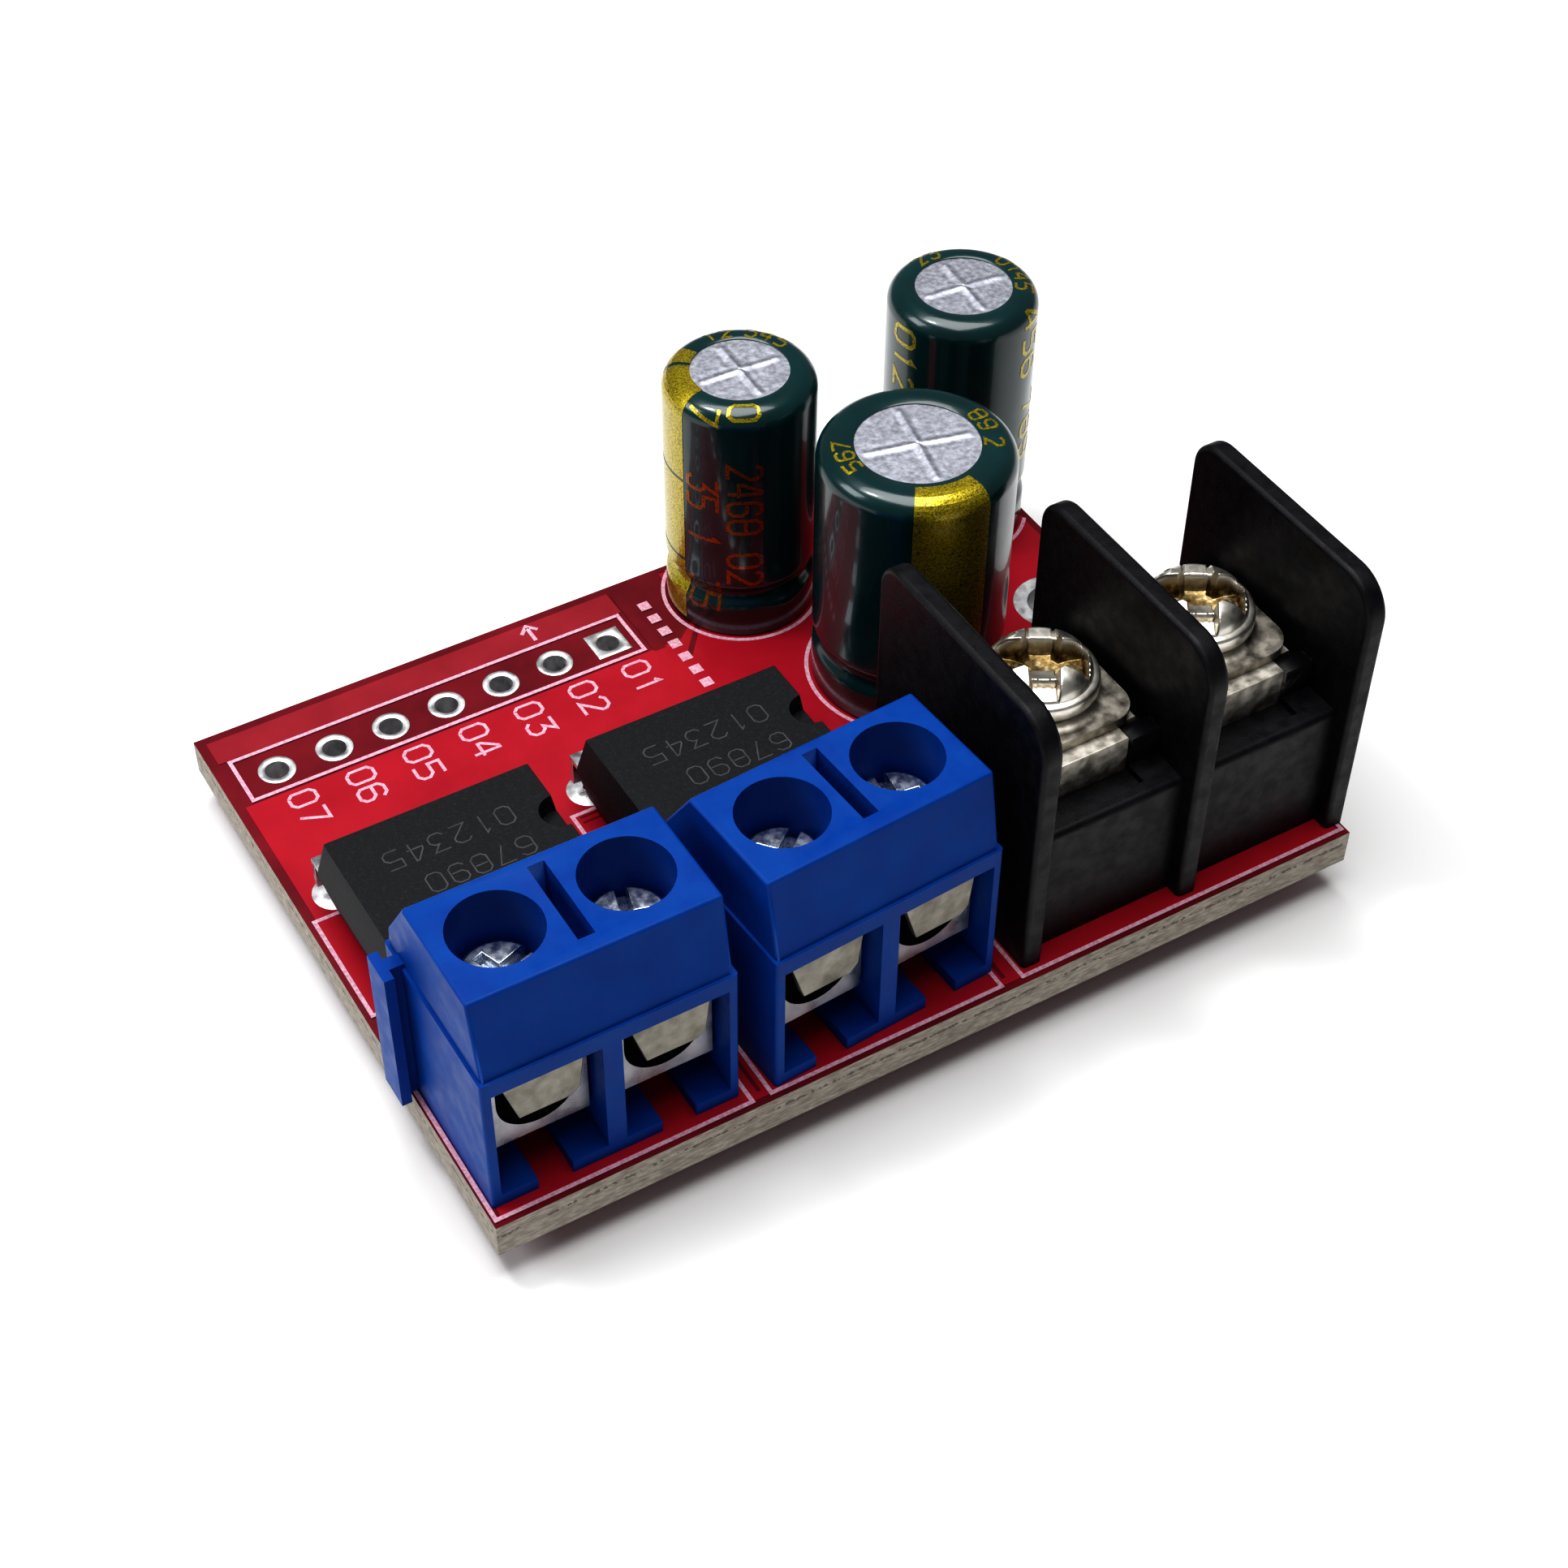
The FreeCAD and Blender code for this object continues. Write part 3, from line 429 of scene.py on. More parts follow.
def smoothed(mesh, angle=35, edge_mm=0.0):
    """Smooth shading with flat faces kept flat, and its sharp edges rounded if a radius is given."""
    for face in mesh.polygons:
        face.use_smooth = True
    mesh.set_sharp_from_angle(angle=math.radians(angle))
    holder = link("draft", mesh)
    if edge_mm:
        bevel = holder.modifiers.new("rounding", "BEVEL")
        bevel.width = edge_mm * MM
        bevel.segments = 2
        bevel.limit_method = "ANGLE"
        bevel.angle_limit = math.radians(angle)
    flat = holder.modifiers.new("flat_faces", "WEIGHTED_NORMAL")
    flat.keep_sharp = not edge_mm
    return evaluated(holder)


def refined(node, finish, edge_mm=0.0, angle=35):
    """A clean copy of a node, smoothed and rounded, standing for the node."""
    mesh = smoothed(clean_copy(node), angle, edge_mm)
    made = settle(node + "_finished", mesh, BODY_OF[node], finish)
    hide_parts(node)
    return made


def dressed(node, finish):
    """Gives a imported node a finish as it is."""
    slots = frame["nodes"][node].data.materials
    slots.clear()
    slots.append(finish)


def board_mm(point):
    """A point of the frame in board millimetres."""
    return (point - CORNER) / MM


def middle(node):
    """A node's middle in board millimetres."""
    low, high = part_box(node)
    return board_mm((low + high) / 2)


def upright(name):
    """A capacitor's centre, radius, foot and top, from its packed sleeve."""
    low, high = [board_mm(corner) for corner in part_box("capacitor_%s_sleeve" % name)]
    return ((low.x + high.x) / 2, (low.y + high.y) / 2), (high.x - low.x) / 2, low.z, high.z


# %% [markdown]
# ## Flat strokes
#
# Print is a thin layer of ink, about 0.02 mm. Every line and numeral is a flat stroke with mitred
# corners, so that strokes never lie on top of each other. A stroke is drawn in its own (u, v)
# millimetres and a `place` function puts it on a surface, flat or wrapped.


# %% Strokes
INK_MM = 0.020


def finely(points, step):
    """The same path with its long runs divided."""
    dots = [points[0]]
    for p, q in zip(points, points[1:]):
        parts = max(1, math.ceil((Vector(q) - Vector(p)).length / step))
        dots += [tuple(Vector(p).lerp(Vector(q), i / parts)) for i in range(1, parts + 1)]
    return dots


def mitre(before, dot, after, width):
    """The half-width offset of a stroke at a point between two others."""
    into = (dot - before).normalized() if before is not None else (after - dot).normalized()
    out = (after - dot).normalized() if after is not None else into
    along = (into + out).normalized()
    side = Vector((-along.y, along.x))
    return side * (width / 2 / max(0.4, side.dot(Vector((-into.y, into.x)))))


def stroke(bm, points, width, place, low=0.0, high=INK_MM):
    """Adds a flat stroke along (u, v) points, between two heights over the surface of place."""
    closed = points[0] == points[-1]
    dots = [Vector(p) for p in (points[:-1] if closed else points)]
    count = len(dots)
    rims = []
    for i, dot in enumerate(dots):
        before = dots[i - 1] if closed or i else None
        after = dots[(i + 1) % count] if closed or i < count - 1 else None
        offset = mitre(before, dot, after, width)
        a, b = dot - offset, dot + offset
        spots = [(a, low), (b, low), (b, high), (a, high)]
        rims.append([bm.verts.new(place(spot.x, spot.y, height)) for spot, height in spots])
    pairs = zip(rims, rims[1:] + rims[:1]) if closed else zip(rims, rims[1:])
    for rim, other in pairs:
        for k in range(4):
            bm.faces.new((rim[k], rim[(k + 1) % 4], other[(k + 1) % 4], other[k]))
    if not closed:
        bm.faces.new(rims[0])
        bm.faces.new(rims[-1][::-1])


def on_board(u, v, height):
    """The place function of print that lies on the board as drawn."""
    return at(u, v, FOIL_MM + height)


def frame_of(x, y):
    """The four sides of a rectangle over the spans x and y."""
    return [(x[0], y[0]), (x[1], y[0]), (x[1], y[1]), (x[0], y[1]), (x[0], y[0])]


def circle(centre, radius, count):
    """Points round a centre, the first one repeated at the end."""
    turns = [2 * math.pi * i / count for i in range(count)]
    dots = [(centre[0] + radius * math.cos(a), centre[1] + radius * math.sin(a)) for a in turns]
    return dots + dots[:1]


# %% Numerals
NUMERALS = {
    "0": [[(1, 0), (3, 0), (4, 1), (4, 5), (3, 6), (1, 6), (0, 5), (0, 1), (1, 0)]],
    "1": [[(1, 5), (2, 6), (2, 0)]],
    "2": [[(0, 5), (1, 6), (3, 6), (4, 5), (4, 4), (0, 0), (4, 0)]],
    "3": [[(0, 6), (4, 6), (2, 3.6), (3, 3.6), (4, 2.6), (4, 1), (3, 0), (1, 0), (0, 1)]],
    "4": [[(3, 0), (3, 6), (2.4, 6), (0, 2.7), (0, 2), (2.6, 2)], [(3.4, 2), (4, 2)]],
    "5": [[(4, 6), (0, 6), (0, 3.4), (3, 3.4), (4, 2.4), (4, 1), (3, 0), (0, 0)]],
    "6": [[(4, 5), (3, 6), (1, 6), (0, 5), (0, 1), (1, 0), (3, 0), (4, 1), (4, 2.4), (3, 3.4), (0.4, 3.4)]],
    "7": [[(0, 6), (4, 6), (1.4, 0)]],
    "8": [[(1, 0), (3, 0), (4, 1), (4, 5), (3, 6), (1, 6), (0, 5), (0, 1), (1, 0)], [(0.5, 3.2), (3.5, 3.2)]],
    "9": [[(0, 1), (1, 0), (3, 0), (4, 1), (4, 5), (3, 6), (1, 6), (0, 5), (0, 3.6), (1, 2.6), (3.6, 2.6)]],
}


def numerals(bm, text, height, width, place, pitch=0.95, slim=1.0, **levels):
    """Adds a row of numerals, its lower left corner at (0, 0) of place. Slim narrows each numeral."""
    unit = height / 6
    for i, sign in enumerate(text):
        for path in NUMERALS.get(sign, []):
            dots = [(i * pitch * height + u * unit * slim, v * unit) for u, v in path]
            stroke(bm, finely(dots, 0.25), width, place, **levels)


# %% [markdown]
# ## The board
#
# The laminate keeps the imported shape. Its two faces get the maroon mask and its edges and holes the
# sawn laminate. The bright red copper areas are thin plates laid on it, 0.035 mm thick like the real
# foil, cut out round the mounting hole.


# %% Laminate
board = refined("circuit_board", MASK_BARE)
board.data.materials.append(LAMINATE)
for face in board.data.polygons:
    face.material_index = 0 if abs(face.normal.z) > 0.9 else 1
print("board faces:", len(board.data.polygons))

# %% Copper areas under the mask
FOIL_MM = 0.035
POUR = [(0.40, 0.30), (37.65, 0.30), (37.65, 27.60), (21.6, 27.60), (21.6, 24.4), (20.4, 23.42),
        (0.40, 23.42)]
STRIP = [(0.40, 26.25), (19.0, 26.25), (19.0, 27.60), (0.40, 27.60)]


def plate_from(outline, low_mm, high_mm):
    """A flat plate: an outline in board millimetres between two heights."""
    bm = bmesh.new()
    base, roof = [[bm.verts.new(at(x, y, z)) for x, y in outline] for z in (low_mm, high_mm)]
    bm.faces.new(base)
    bm.faces.new(roof)
    for i in range(len(outline)):
        bm.faces.new((base[i - 1], base[i], roof[i], roof[i - 1]))
    return built(bm, "plate")


def cut_by(mesh, cutter):
    """A mesh less another mesh."""
    holder, tool = link("holder", mesh), link("tool", cutter)
    cut = holder.modifiers.new("cut", "BOOLEAN")
    cut.object = tool
    cut.operation = "DIFFERENCE"
    cut.solver = "EXACT"
    result = evaluated(holder)
    bpy.data.objects.remove(tool)
    return result


mount = middle("mounting_eyelet")
mount_hole = plate_from(circle((mount.x, mount.y), 1.66, 48)[:-1], -0.5, 0.5)
pour = cut_by(plate_from(POUR, -0.01, FOIL_MM), mount_hole)
settle("copper_area_top", pour, "root", MASK_COPPER)
settle("copper_area_back", plate_from(STRIP, -0.01, FOIL_MM * 0.8), "root", MASK_THIN)

# %% Gaps between the copper areas
GAPS = [
    ([(11.75, 16.15), (14.2, 16.15)], 0.10),
    ([(11.75, 15.85), (14.2, 15.85)], 0.10),
    ([(19.35, 23.3), (19.35, 27.4)], 0.55),
    ([(20.2, 22.3), (21.5, 23.9)], 0.25),
    ([(26.2, 22.0), (31.5, 23.6)], 0.20),
    ([(0.75, 9.6), (10.4, 9.6)], 0.16),
    ([(21.75, 0.6), (21.75, 9.6)], 0.20),
    ([(11.0, 0.6), (11.0, 9.6)], 0.16),
]
gaps = bmesh.new()
for path, width in GAPS:
    stroke(gaps, path, width, on_board, -0.02, 0.002)
settle("mask_in_gaps", built(gaps), "root", MASK_BARE)
print("copper faces:", len(pour.polygons), "and gaps:", len(GAPS))

# %% [markdown]
# ## Screen print
#
# The outlines show where each part stands. Numbers stand for the pin labels, since any real wording
# is left out, and a row of dashes stands for the word beside the first pin.

# %% Outlines and arrow
PIN_STEP, PIN_COUNT = 2.54, 7
eyelets_low, eyelets_high = [board_mm(corner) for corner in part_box("header_eyelets")]
HOLE_MM, PAD_MM = 0.50, 0.78          # radius of a header hole and of its pad
PIN_X, PIN_Y = eyelets_low.x + PAD_MM, (eyelets_low.y + eyelets_high.y) / 2
LINE_MM = 0.17
# Motor terminals, supply terminal, two chips, header
OUTLINES = [
    frame_of((0.16, 10.55), (0.30, 8.75)),
    frame_of((11.35, 21.45), (0.30, 8.75)),
    frame_of((22.42, 37.8), (0.30, 11.85)),
    [(0.30, 16.35), (0.30, 10.95), (10.6, 10.95), (10.6, 16.35), (0.30, 16.35)],
    [(11.50, 16.35), (11.50, 10.95), (21.8, 10.95), (21.8, 16.35), (11.50, 16.35)],
    frame_of((0.83, 18.75), (23.62, 26.12)),
]
ARROW = [[(15.0, 26.45), (15.0, 27.35)], [(14.62, 27.05), (15.0, 27.45), (15.38, 27.05)]]
CAPS = ("1", "2", "3")
RING_DOTS = 90

ink = bmesh.new()
for path in OUTLINES + ARROW:
    stroke(ink, path, LINE_MM, on_board)
for name in CAPS:
    heart, radius = upright(name)[:2]
    run = []
    for dot in circle(heart, radius + 0.20, RING_DOTS):
        # The ring stops 0.2 mm inside the board's edges
        on_it = 0.2 < dot[0] < 37.8 and 0.2 < dot[1] < 27.8
        if on_it:
            run.append(dot)
        if len(run) > 1 and (not on_it or len(run) == RING_DOTS + 1):
            stroke(ink, run, LINE_MM, on_board)
        if not on_it:
            run = []
    if 1 < len(run) < RING_DOTS + 1:
        stroke(ink, run, LINE_MM, on_board)
settle("print_lines", built(ink), "root", INK)


# %% Pin numbers and a row of dashes
def lay(origin, reading, upward, lift=FOIL_MM):
    """A place function for flat print: where it starts and its reading and upward directions."""
    start_at, reading, upward = Vector(origin), Vector(reading), Vector(upward)

    def place(u, v, height):
        spot = start_at + reading * u + upward * v
        return at(spot.x, spot.y, lift + height)
    return place


labels = bmesh.new()
for pin in range(PIN_COUNT):
    place = lay((PIN_X + pin * PIN_STEP - 0.30, 23.10), (0, -1), (1, 0))
    numerals(labels, "0%d" % (PIN_COUNT - pin), 1.12, 0.14, place, 0.98)
DASHES, DASH_STEP, DASH_MM, DASH_X, DASH_Y = 7, 0.92, 0.5, 20.05, 26.3
for i in range(DASHES):
    dash_y = DASH_Y - i * DASH_STEP
    stroke(labels, [(DASH_X, dash_y), (DASH_X, dash_y - DASH_MM)], DASH_MM, on_board)
print_labels = settle("print_labels", built(labels), "root", INK)
print("label faces:", len(print_labels.data.polygons))

# %% [markdown]
# ## Copies on points
#
# Eyelets repeat. One Geometry Nodes tree copies a source shape to every point of a small mesh and
# ends in realised copies with a material. It could be a loop, but the tree keeps the shape and its
# places apart, so either can change alone.


# %% Tree that copies a shape to points
def copying_tree():
    """The Geometry Nodes tree: points and a shape in, realised copies with a material out."""
    tree = bpy.data.node_groups.new("copies_on_points", "GeometryNodeTree")
    tree.interface.new_socket("Points", in_out="INPUT", socket_type="NodeSocketGeometry")
    tree.interface.new_socket("Shape", in_out="INPUT", socket_type="NodeSocketObject")
    tree.interface.new_socket("Finish", in_out="INPUT", socket_type="NodeSocketMaterial")
    tree.interface.new_socket("Copies", in_out="OUTPUT", socket_type="NodeSocketGeometry")
    given = tree.nodes.new("NodeGroupInput")
    shape = add(tree, "GeometryNodeObjectInfo", {"Object": given.outputs["Shape"]})
    spread = add(tree, "GeometryNodeInstanceOnPoints",
                 {"Points": given.outputs["Points"], "Instance": shape.outputs["Geometry"]})
    real = add(tree, "GeometryNodeRealizeInstances", {"Geometry": spread.outputs["Instances"]})
    skin = add(tree, "GeometryNodeSetMaterial", {"Geometry": real.outputs["Geometry"],
                                                 "Material": given.outputs["Finish"]})
    add(tree, "NodeGroupOutput", {"Copies": skin.outputs["Geometry"]})
    return tree


def grown(base, tree, **values):
    """The plain mesh that a Geometry Nodes tree makes from a base mesh and named values."""
    holder = link("holder", base)
    grow = holder.modifiers.new("grow", "NODES")
    grow.node_group = tree
    keys = {item.name: item.identifier for item in tree.interface.items_tree}
    for name, value in values.items():
        grow[keys[name]] = value
    return evaluated(holder)


COPIES = copying_tree()


# %% Turned shapes
def lathe(profile, segments, square=()):
    """A closed outline of (radius, height) in millimetres, turned about the Z axis. The outline's points
    whose numbers are in square lie on a square instead of a circle."""
    bm = bmesh.new()
    rings = []
    for number, (r, z) in enumerate(profile):
        ring = []
        for i in range(segments):
            a = 2 * math.pi * i / segments
            reach = r / max(abs(math.cos(a)), abs(math.sin(a))) if number in square else r
            ring.append(bm.verts.new((reach * MM * math.cos(a), reach * MM * math.sin(a), z * MM)))
        rings.append(ring)
    for low, high in zip(rings, rings[1:] + rings[:1]):
        for i in range(segments):
            j = (i + 1) % segments
            bm.faces.new((low[i], low[j], high[j], high[i]))
    return built(bm, "turned")


# %% Header eyelets
def eyelet_profile(hole, pad, board_t=1.6, tin=0.05):
    """Outline of a plated hole from the board's upper face down, with soft rims of tin."""
    upper = [(hole + 0.05, 0.0), (pad, 0.0), (pad, tin * 0.6), (pad - 0.05, tin), (hole + 0.07, tin),
             (hole, tin * 0.2)]
    lower = [(r, -board_t - z) for r, z in reversed(upper)]
    return upper[1:] + lower[:-1]


profile = eyelet_profile(HOLE_MM, PAD_MM)
OUTER = [i for i, (r, z) in enumerate(profile) if r > 0.7]
dots = bpy.data.meshes.new("dots")
dots.from_pydata([tuple(at(PIN_X + i * PIN_STEP, PIN_Y)) for i in range(PIN_COUNT - 1)], [], [])
source = link("source", smoothed(lathe(profile, 48)))
round_ones = grown(dots, COPIES, Shape=source, Finish=PAD_TIN)
bpy.data.objects.remove(source)
square_one = smoothed(lathe(profile, 48, OUTER))
square_one.transform(Matrix.Translation(at(PIN_X + (PIN_COUNT - 1) * PIN_STEP, PIN_Y)))
eyelets = settle("header_eyelets_finished", joined([round_ones, square_one]), "root", PAD_TIN)
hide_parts("header_eyelets")
print("eyelet faces:", len(eyelets.data.polygons))

# %% Mounting eyelet and solder
refined("mounting_eyelet", PAD_TIN)
joints = refined("solder_joints", SOLDER)
joints.data.materials.append(PAD_TIN)
for face in joints.data.polygons:
    face.material_index = int(face.center.z > CORNER.z)

# %% [markdown]
# ## Driver chips
#
# Each case is moulded in two halves with a draft, so its sides lean. The mark on top is burnt by a
# laser: a dull grey, hardly lighter than the epoxy. Here it is only numerals.

# %% Chips
CHIP_ROWS = (("012345", 1.25), ("67890", -0.55))      # numerals, and how far up from the middle
for chip in "ab":
    refined("driver_%s_case" % chip, EPOXY, 0.06)
    refined("driver_%s_leads" % chip, LEAD_TIN, 0.03)
    dressed("driver_%s_paddle" % chip, COPPER)
    dressed("driver_%s_die" % chip, SILICON)
    heart = middle("driver_%s_case" % chip)
    roof = board_mm(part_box("driver_%s_case" % chip)[1]).z
    marks = bmesh.new()
    for text, up in CHIP_ROWS:
        place = lay((heart.x + 2.6, heart.y + up), (-1, 0), (0, -1), roof)
        numerals(marks, text, 0.95, 0.06, place, 0.98, low=-0.01, high=0.004)
    mark = settle("driver_%s_mark" % chip, built(marks), "root", LASER)
    print("chip", chip, "mark faces:", len(mark.data.polygons))

# %% [markdown]
# ## Screw threads
#
# A thread is a ridge that follows a helix, so it is a Geometry Nodes tree: a spiral curve with a
# small diamond swept along it. The ridge fills most of the gap that the design leaves in the nut.


# %% Tree that winds a thread
def thread_tree():
    """The Geometry Nodes tree: sizes in, a closed helical ridge with a material out."""
    tree = bpy.data.node_groups.new("thread", "GeometryNodeTree")
    tree.interface.new_socket("Base", in_out="INPUT", socket_type="NodeSocketGeometry")
    for name in ("Radius", "Length", "Turns", "Ridge"):
        tree.interface.new_socket(name, in_out="INPUT", socket_type="NodeSocketFloat")
    tree.interface.new_socket("Finish", in_out="INPUT", socket_type="NodeSocketMaterial")
    tree.interface.new_socket("Thread", in_out="OUTPUT", socket_type="NodeSocketGeometry")
    given = tree.nodes.new("NodeGroupInput").outputs
    helix = add(tree, "GeometryNodeCurveSpiral",
                {"Resolution": 28, "Rotations": given["Turns"], "Start Radius": given["Radius"],
                 "End Radius": given["Radius"], "Height": given["Length"]})
    shape = add(tree, "GeometryNodeCurvePrimitiveCircle", {"Resolution": 4, "Radius": given["Ridge"]})
    sweep = add(tree, "GeometryNodeCurveToMesh",
                {"Curve": helix.outputs["Curve"], "Profile Curve": shape.outputs["Curve"], "Fill Caps": True})
    real = add(tree, "GeometryNodeRealizeInstances", {"Geometry": sweep.outputs["Mesh"]})
    skin = add(tree, "GeometryNodeSetMaterial", {"Geometry": real.outputs["Geometry"],
                                                 "Material": given["Finish"]})
    add(tree, "NodeGroupOutput", {"Thread": skin.outputs["Geometry"]})
    return tree


THREAD = thread_tree()


def threaded(node, radius, low, high, ridge, finish):
    """A thread on a screw, between two heights above the board in millimetres."""
    low_corner, high_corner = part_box(node)
    foot = (low_corner + high_corner) / 2
    foot.z = at(0, 0, low).z
    turns = float(round((high - low) / 0.5))
    mesh = grown(bpy.data.meshes.new("base"), THREAD, Radius=radius * MM, Length=(high - low) * MM,
                 Turns=turns, Ridge=ridge * MM, Finish=finish)
    mesh.transform(Matrix.Translation(foot))
    return settle(node + "_thread", mesh, BODY_OF[node], finish)


# %% [markdown]
# ## Motor terminals
#
# The housing is one nylon moulding, rounded only a little at its edges. In it sit a tinned cage, a
# strip that guards the wire and a zinc screw, each a stamped or turned part with its own radius.

# %% Motor terminals
for side in "ab":
    refined("motor_%s_housing" % side, BLUE)
    for pole in (1, 2):
        refined("motor_%s_cage_%d" % (side, pole), CAGE_TIN)
        refined("motor_%s_guard_%d" % (side, pole), GUARD, 0.05)
        screw = "motor_%s_screw_%d" % (side, pole)
        refined(screw, ZINC, 0.03)
        thread = threaded(screw, 1.465, 5.4, 7.4, 0.05, ZINC)
print("motor thread faces:", len(thread.data.polygons))

# %% [markdown]
# ## Supply screws
#
# The head takes a flat or a cross driver: four pillows stand round a slot and two wide arms. It is
# made as a height over the plane, worked out point by point on rings, and goes on down the rim and
# the shank as one closed skin. An attribute marks the recess, where the plating looks like old gold.

# %% Head of a supply screw
HEAD_R, SHANK_R = 2.25, 1.50
CROWN_R = 1.96                       # where the dome ends and the flat rim begins
SLOT_TURN = math.radians(59)         # where the slot points, from +X


def ramp(value, low, high):
    """0 below low, 1 above high, and a soft step between."""
    t = min(1.0, max(0.0, (value - low) / (high - low)))
    return t * t * (3 - 2 * t)


def hump(value, centre, half):
    """1 at the centre and 0 beyond the half width, flat on top."""
    return ramp(half - abs(value - centre), 0.0, 0.22)


def head_height(r, turn):
    """Height over the board, and how deep in the recess, of a point on the head."""
    along, left = r * math.cos(turn), r * math.sin(turn)
    across = abs(left)
    if r < CROWN_R:
        dome = 9.06 + 0.88 * (1 - (r / 1.97) ** 4) ** 0.6
    else:
        dome = 9.02 - 0.10 * ((r - CROWN_R) / 0.28) ** 2
    slot = 1 - ramp(across, 0.42, 0.60)
    arm = (1 - ramp(abs(along), 0.38 + 0.22 * across, 0.58 + 0.22 * across)) * (1 - ramp(across, 1.56, 1.78))
    core = 1 - ramp(r, 0.85, 1.08)
    open_part = max(slot * ramp(1.98 - r, -0.06, 0.10), arm, core)
    pillow = hump(along, -0.72, 0.50) * slot
    block = hump(along, 1.52, 0.55) * slot
    apron = ramp(-along, 1.12, 1.30) * slot
    floor_z = 8.68 + 0.12 * min(r, 1.2) ** 2 + 0.60 * pillow + 0.66 * block
    floor_z += (0.42 - 0.30 * (r - 1.2)) * apron
    spot = math.hypot(along - 1.18, left - 1.20)
    ring = 0.05 * math.exp(-((spot - 0.22) / 0.07) ** 2) - 0.06 * math.exp(-(spot / 0.13) ** 2)
    height = dome + ring + (min(dome, floor_z) - dome) * open_part
    return height, ramp(dome - height, 0.30, 0.60) * (1 - 0.9 * max(pillow, block, apron))


# Radius and height of each ring below the head's rim: rim, underside, shank and tip
SKIRT = [(HEAD_R, 8.84), (HEAD_R, 8.42), (2.20, 8.32), (2.10, 8.28), (1.55, 8.28), (SHANK_R, 8.20),
         (1.45, 3.90), (1.20, 3.62)]
TIP_Z = 3.6


def supply_screw():
    """The skin of a whole screw about the Z axis, with its recess marked."""
    rings = [(0.045 * i, None) for i in range(1, 48)] + [(2.16, None), (2.21, None)] + SKIRT
    segments = 256
    bm = bmesh.new()
    depth = bm.verts.layers.float.new("recess")
    skin = []
    for r, z in rings:
        ring = []
        for i in range(segments):
            turn = 2 * math.pi * i / segments
            height, deep = (z, 0.0) if z is not None else head_height(r, turn)
            out = turn + SLOT_TURN
            spot = bm.verts.new((r * math.cos(out) * MM, r * math.sin(out) * MM, height * MM))
            spot[depth] = deep
            ring.append(spot)
        skin.append(ring)
    top = bm.verts.new((0, 0, head_height(0, 0)[0] * MM))
    top[depth] = 1.0
    tip = bm.verts.new((0, 0, TIP_Z * MM))
    for i in range(segments):
        j = (i + 1) % segments
        bm.faces.new((top, skin[0][i], skin[0][j]))
        bm.faces.new((tip, skin[-1][j], skin[-1][i]))
        for low, high in zip(skin, skin[1:]):
            bm.faces.new((low[i], high[i], high[j], low[j]))
    return smoothed(built(bm, "supply_screw"), 60)


# %% Supply terminal
refined("supply_housing", BLACK)
for pole in (1, 2):
    refined("supply_plate_%d" % pole, PLATE_TIN, 0.06)
    refined("supply_washer_%d" % pole, WASHER_TIN)
    screw = "supply_screw_%d" % pole
    heart = middle(screw)
    mesh = supply_screw()
    mesh.transform(Matrix.Translation(at(heart.x, heart.y)))
    made = settle(screw + "_finished", mesh, BODY_OF[screw], NICKEL)
    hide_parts(screw)
    threaded(screw, 1.46, 4.1, 7.6, 0.05, NICKEL)
print("supply screw faces:", len(made.data.polygons))

# %% [markdown]
# ## Capacitors
#
# The sleeve is film shrunk over the can, so it follows the can's shoulder and the groove rolled in
# its foot. The print goes up the side, over the shoulder and across the top. Its place function
# walks along the same outline: u goes round the can, and v goes up from the foot.

# %% Outline of a capacitor
BEND = 0.8                                     # radius of the shoulder
GROOVE_Z, GROOVE_HALF, GROOVE_DEPTH = 2.2, 0.70, 0.30
FILM_MM = 0.10


def outline_point(radius, height, v, lift):
    """Radius and height over the board of a point v millimetres up the sleeve's outline."""
    side, bend = height - BEND, BEND * math.pi / 2
    if v < side:
        off = min(1.0, abs(v - GROOVE_Z) / GROOVE_HALF)
        dip = GROOVE_DEPTH * (1 + math.cos(math.pi * off)) / 2
        return radius - dip + lift, v
    if v < side + bend:
        turn = (v - side) / BEND
        return radius - BEND + (BEND + lift) * math.cos(turn), side + (BEND + lift) * math.sin(turn)
    return radius - BEND - (v - side - bend), height + lift


def wrap(name, facing, foot, reads_down=False, shift=0.0):
    """A place function on a capacitor: facing is the angle of u = 0, foot the v of v = 0. Print that
    reads down the side may be shifted round it."""
    heart, radius, _, tall = upright(name)

    def place(u, v, lift):
        if reads_down:
            u, v = v + shift, -u
        r, z = outline_point(radius, tall, foot + v, lift)
        turn = math.radians(facing) + u / radius
        return at(heart[0] + r * math.cos(turn), heart[1] + r * math.sin(turn), z)
    return place


def patch(bm, across, along, place, low=-0.03, high=0.015, step=0.2):
    """Adds a closed patch of print over the spans across (u) and along (v)."""
    columns = max(1, round((across[1] - across[0]) / step))
    rows = max(1, round((along[1] - along[0]) / step))
    layers = []
    for lift in (low, high):
        layers.append([[bm.verts.new(place(across[0] + (across[1] - across[0]) * i / columns,
                                           along[0] + (along[1] - along[0]) * j / rows, lift))
                        for j in range(rows + 1)] for i in range(columns + 1)])
    for layer in layers:
        for i in range(columns):
            for j in range(rows):
                bm.faces.new((layer[i][j], layer[i + 1][j], layer[i + 1][j + 1], layer[i][j + 1]))
    rim = [(i, 0) for i in range(columns)] + [(columns, j) for j in range(rows)]
    rim += [(i, rows) for i in range(columns, 0, -1)] + [(0, j) for j in range(rows, 0, -1)]
    for (i, j), (k, l) in zip(rim, rim[1:] + rim[:1]):
        bm.faces.new((layers[0][i][j], layers[0][k][l], layers[1][k][l], layers[1][i][j]))


# %% Sleeves
DISC = {"1": 2.08, "2": 2.55, "3": 2.08}      # radius of the bare disc that the sleeve leaves open


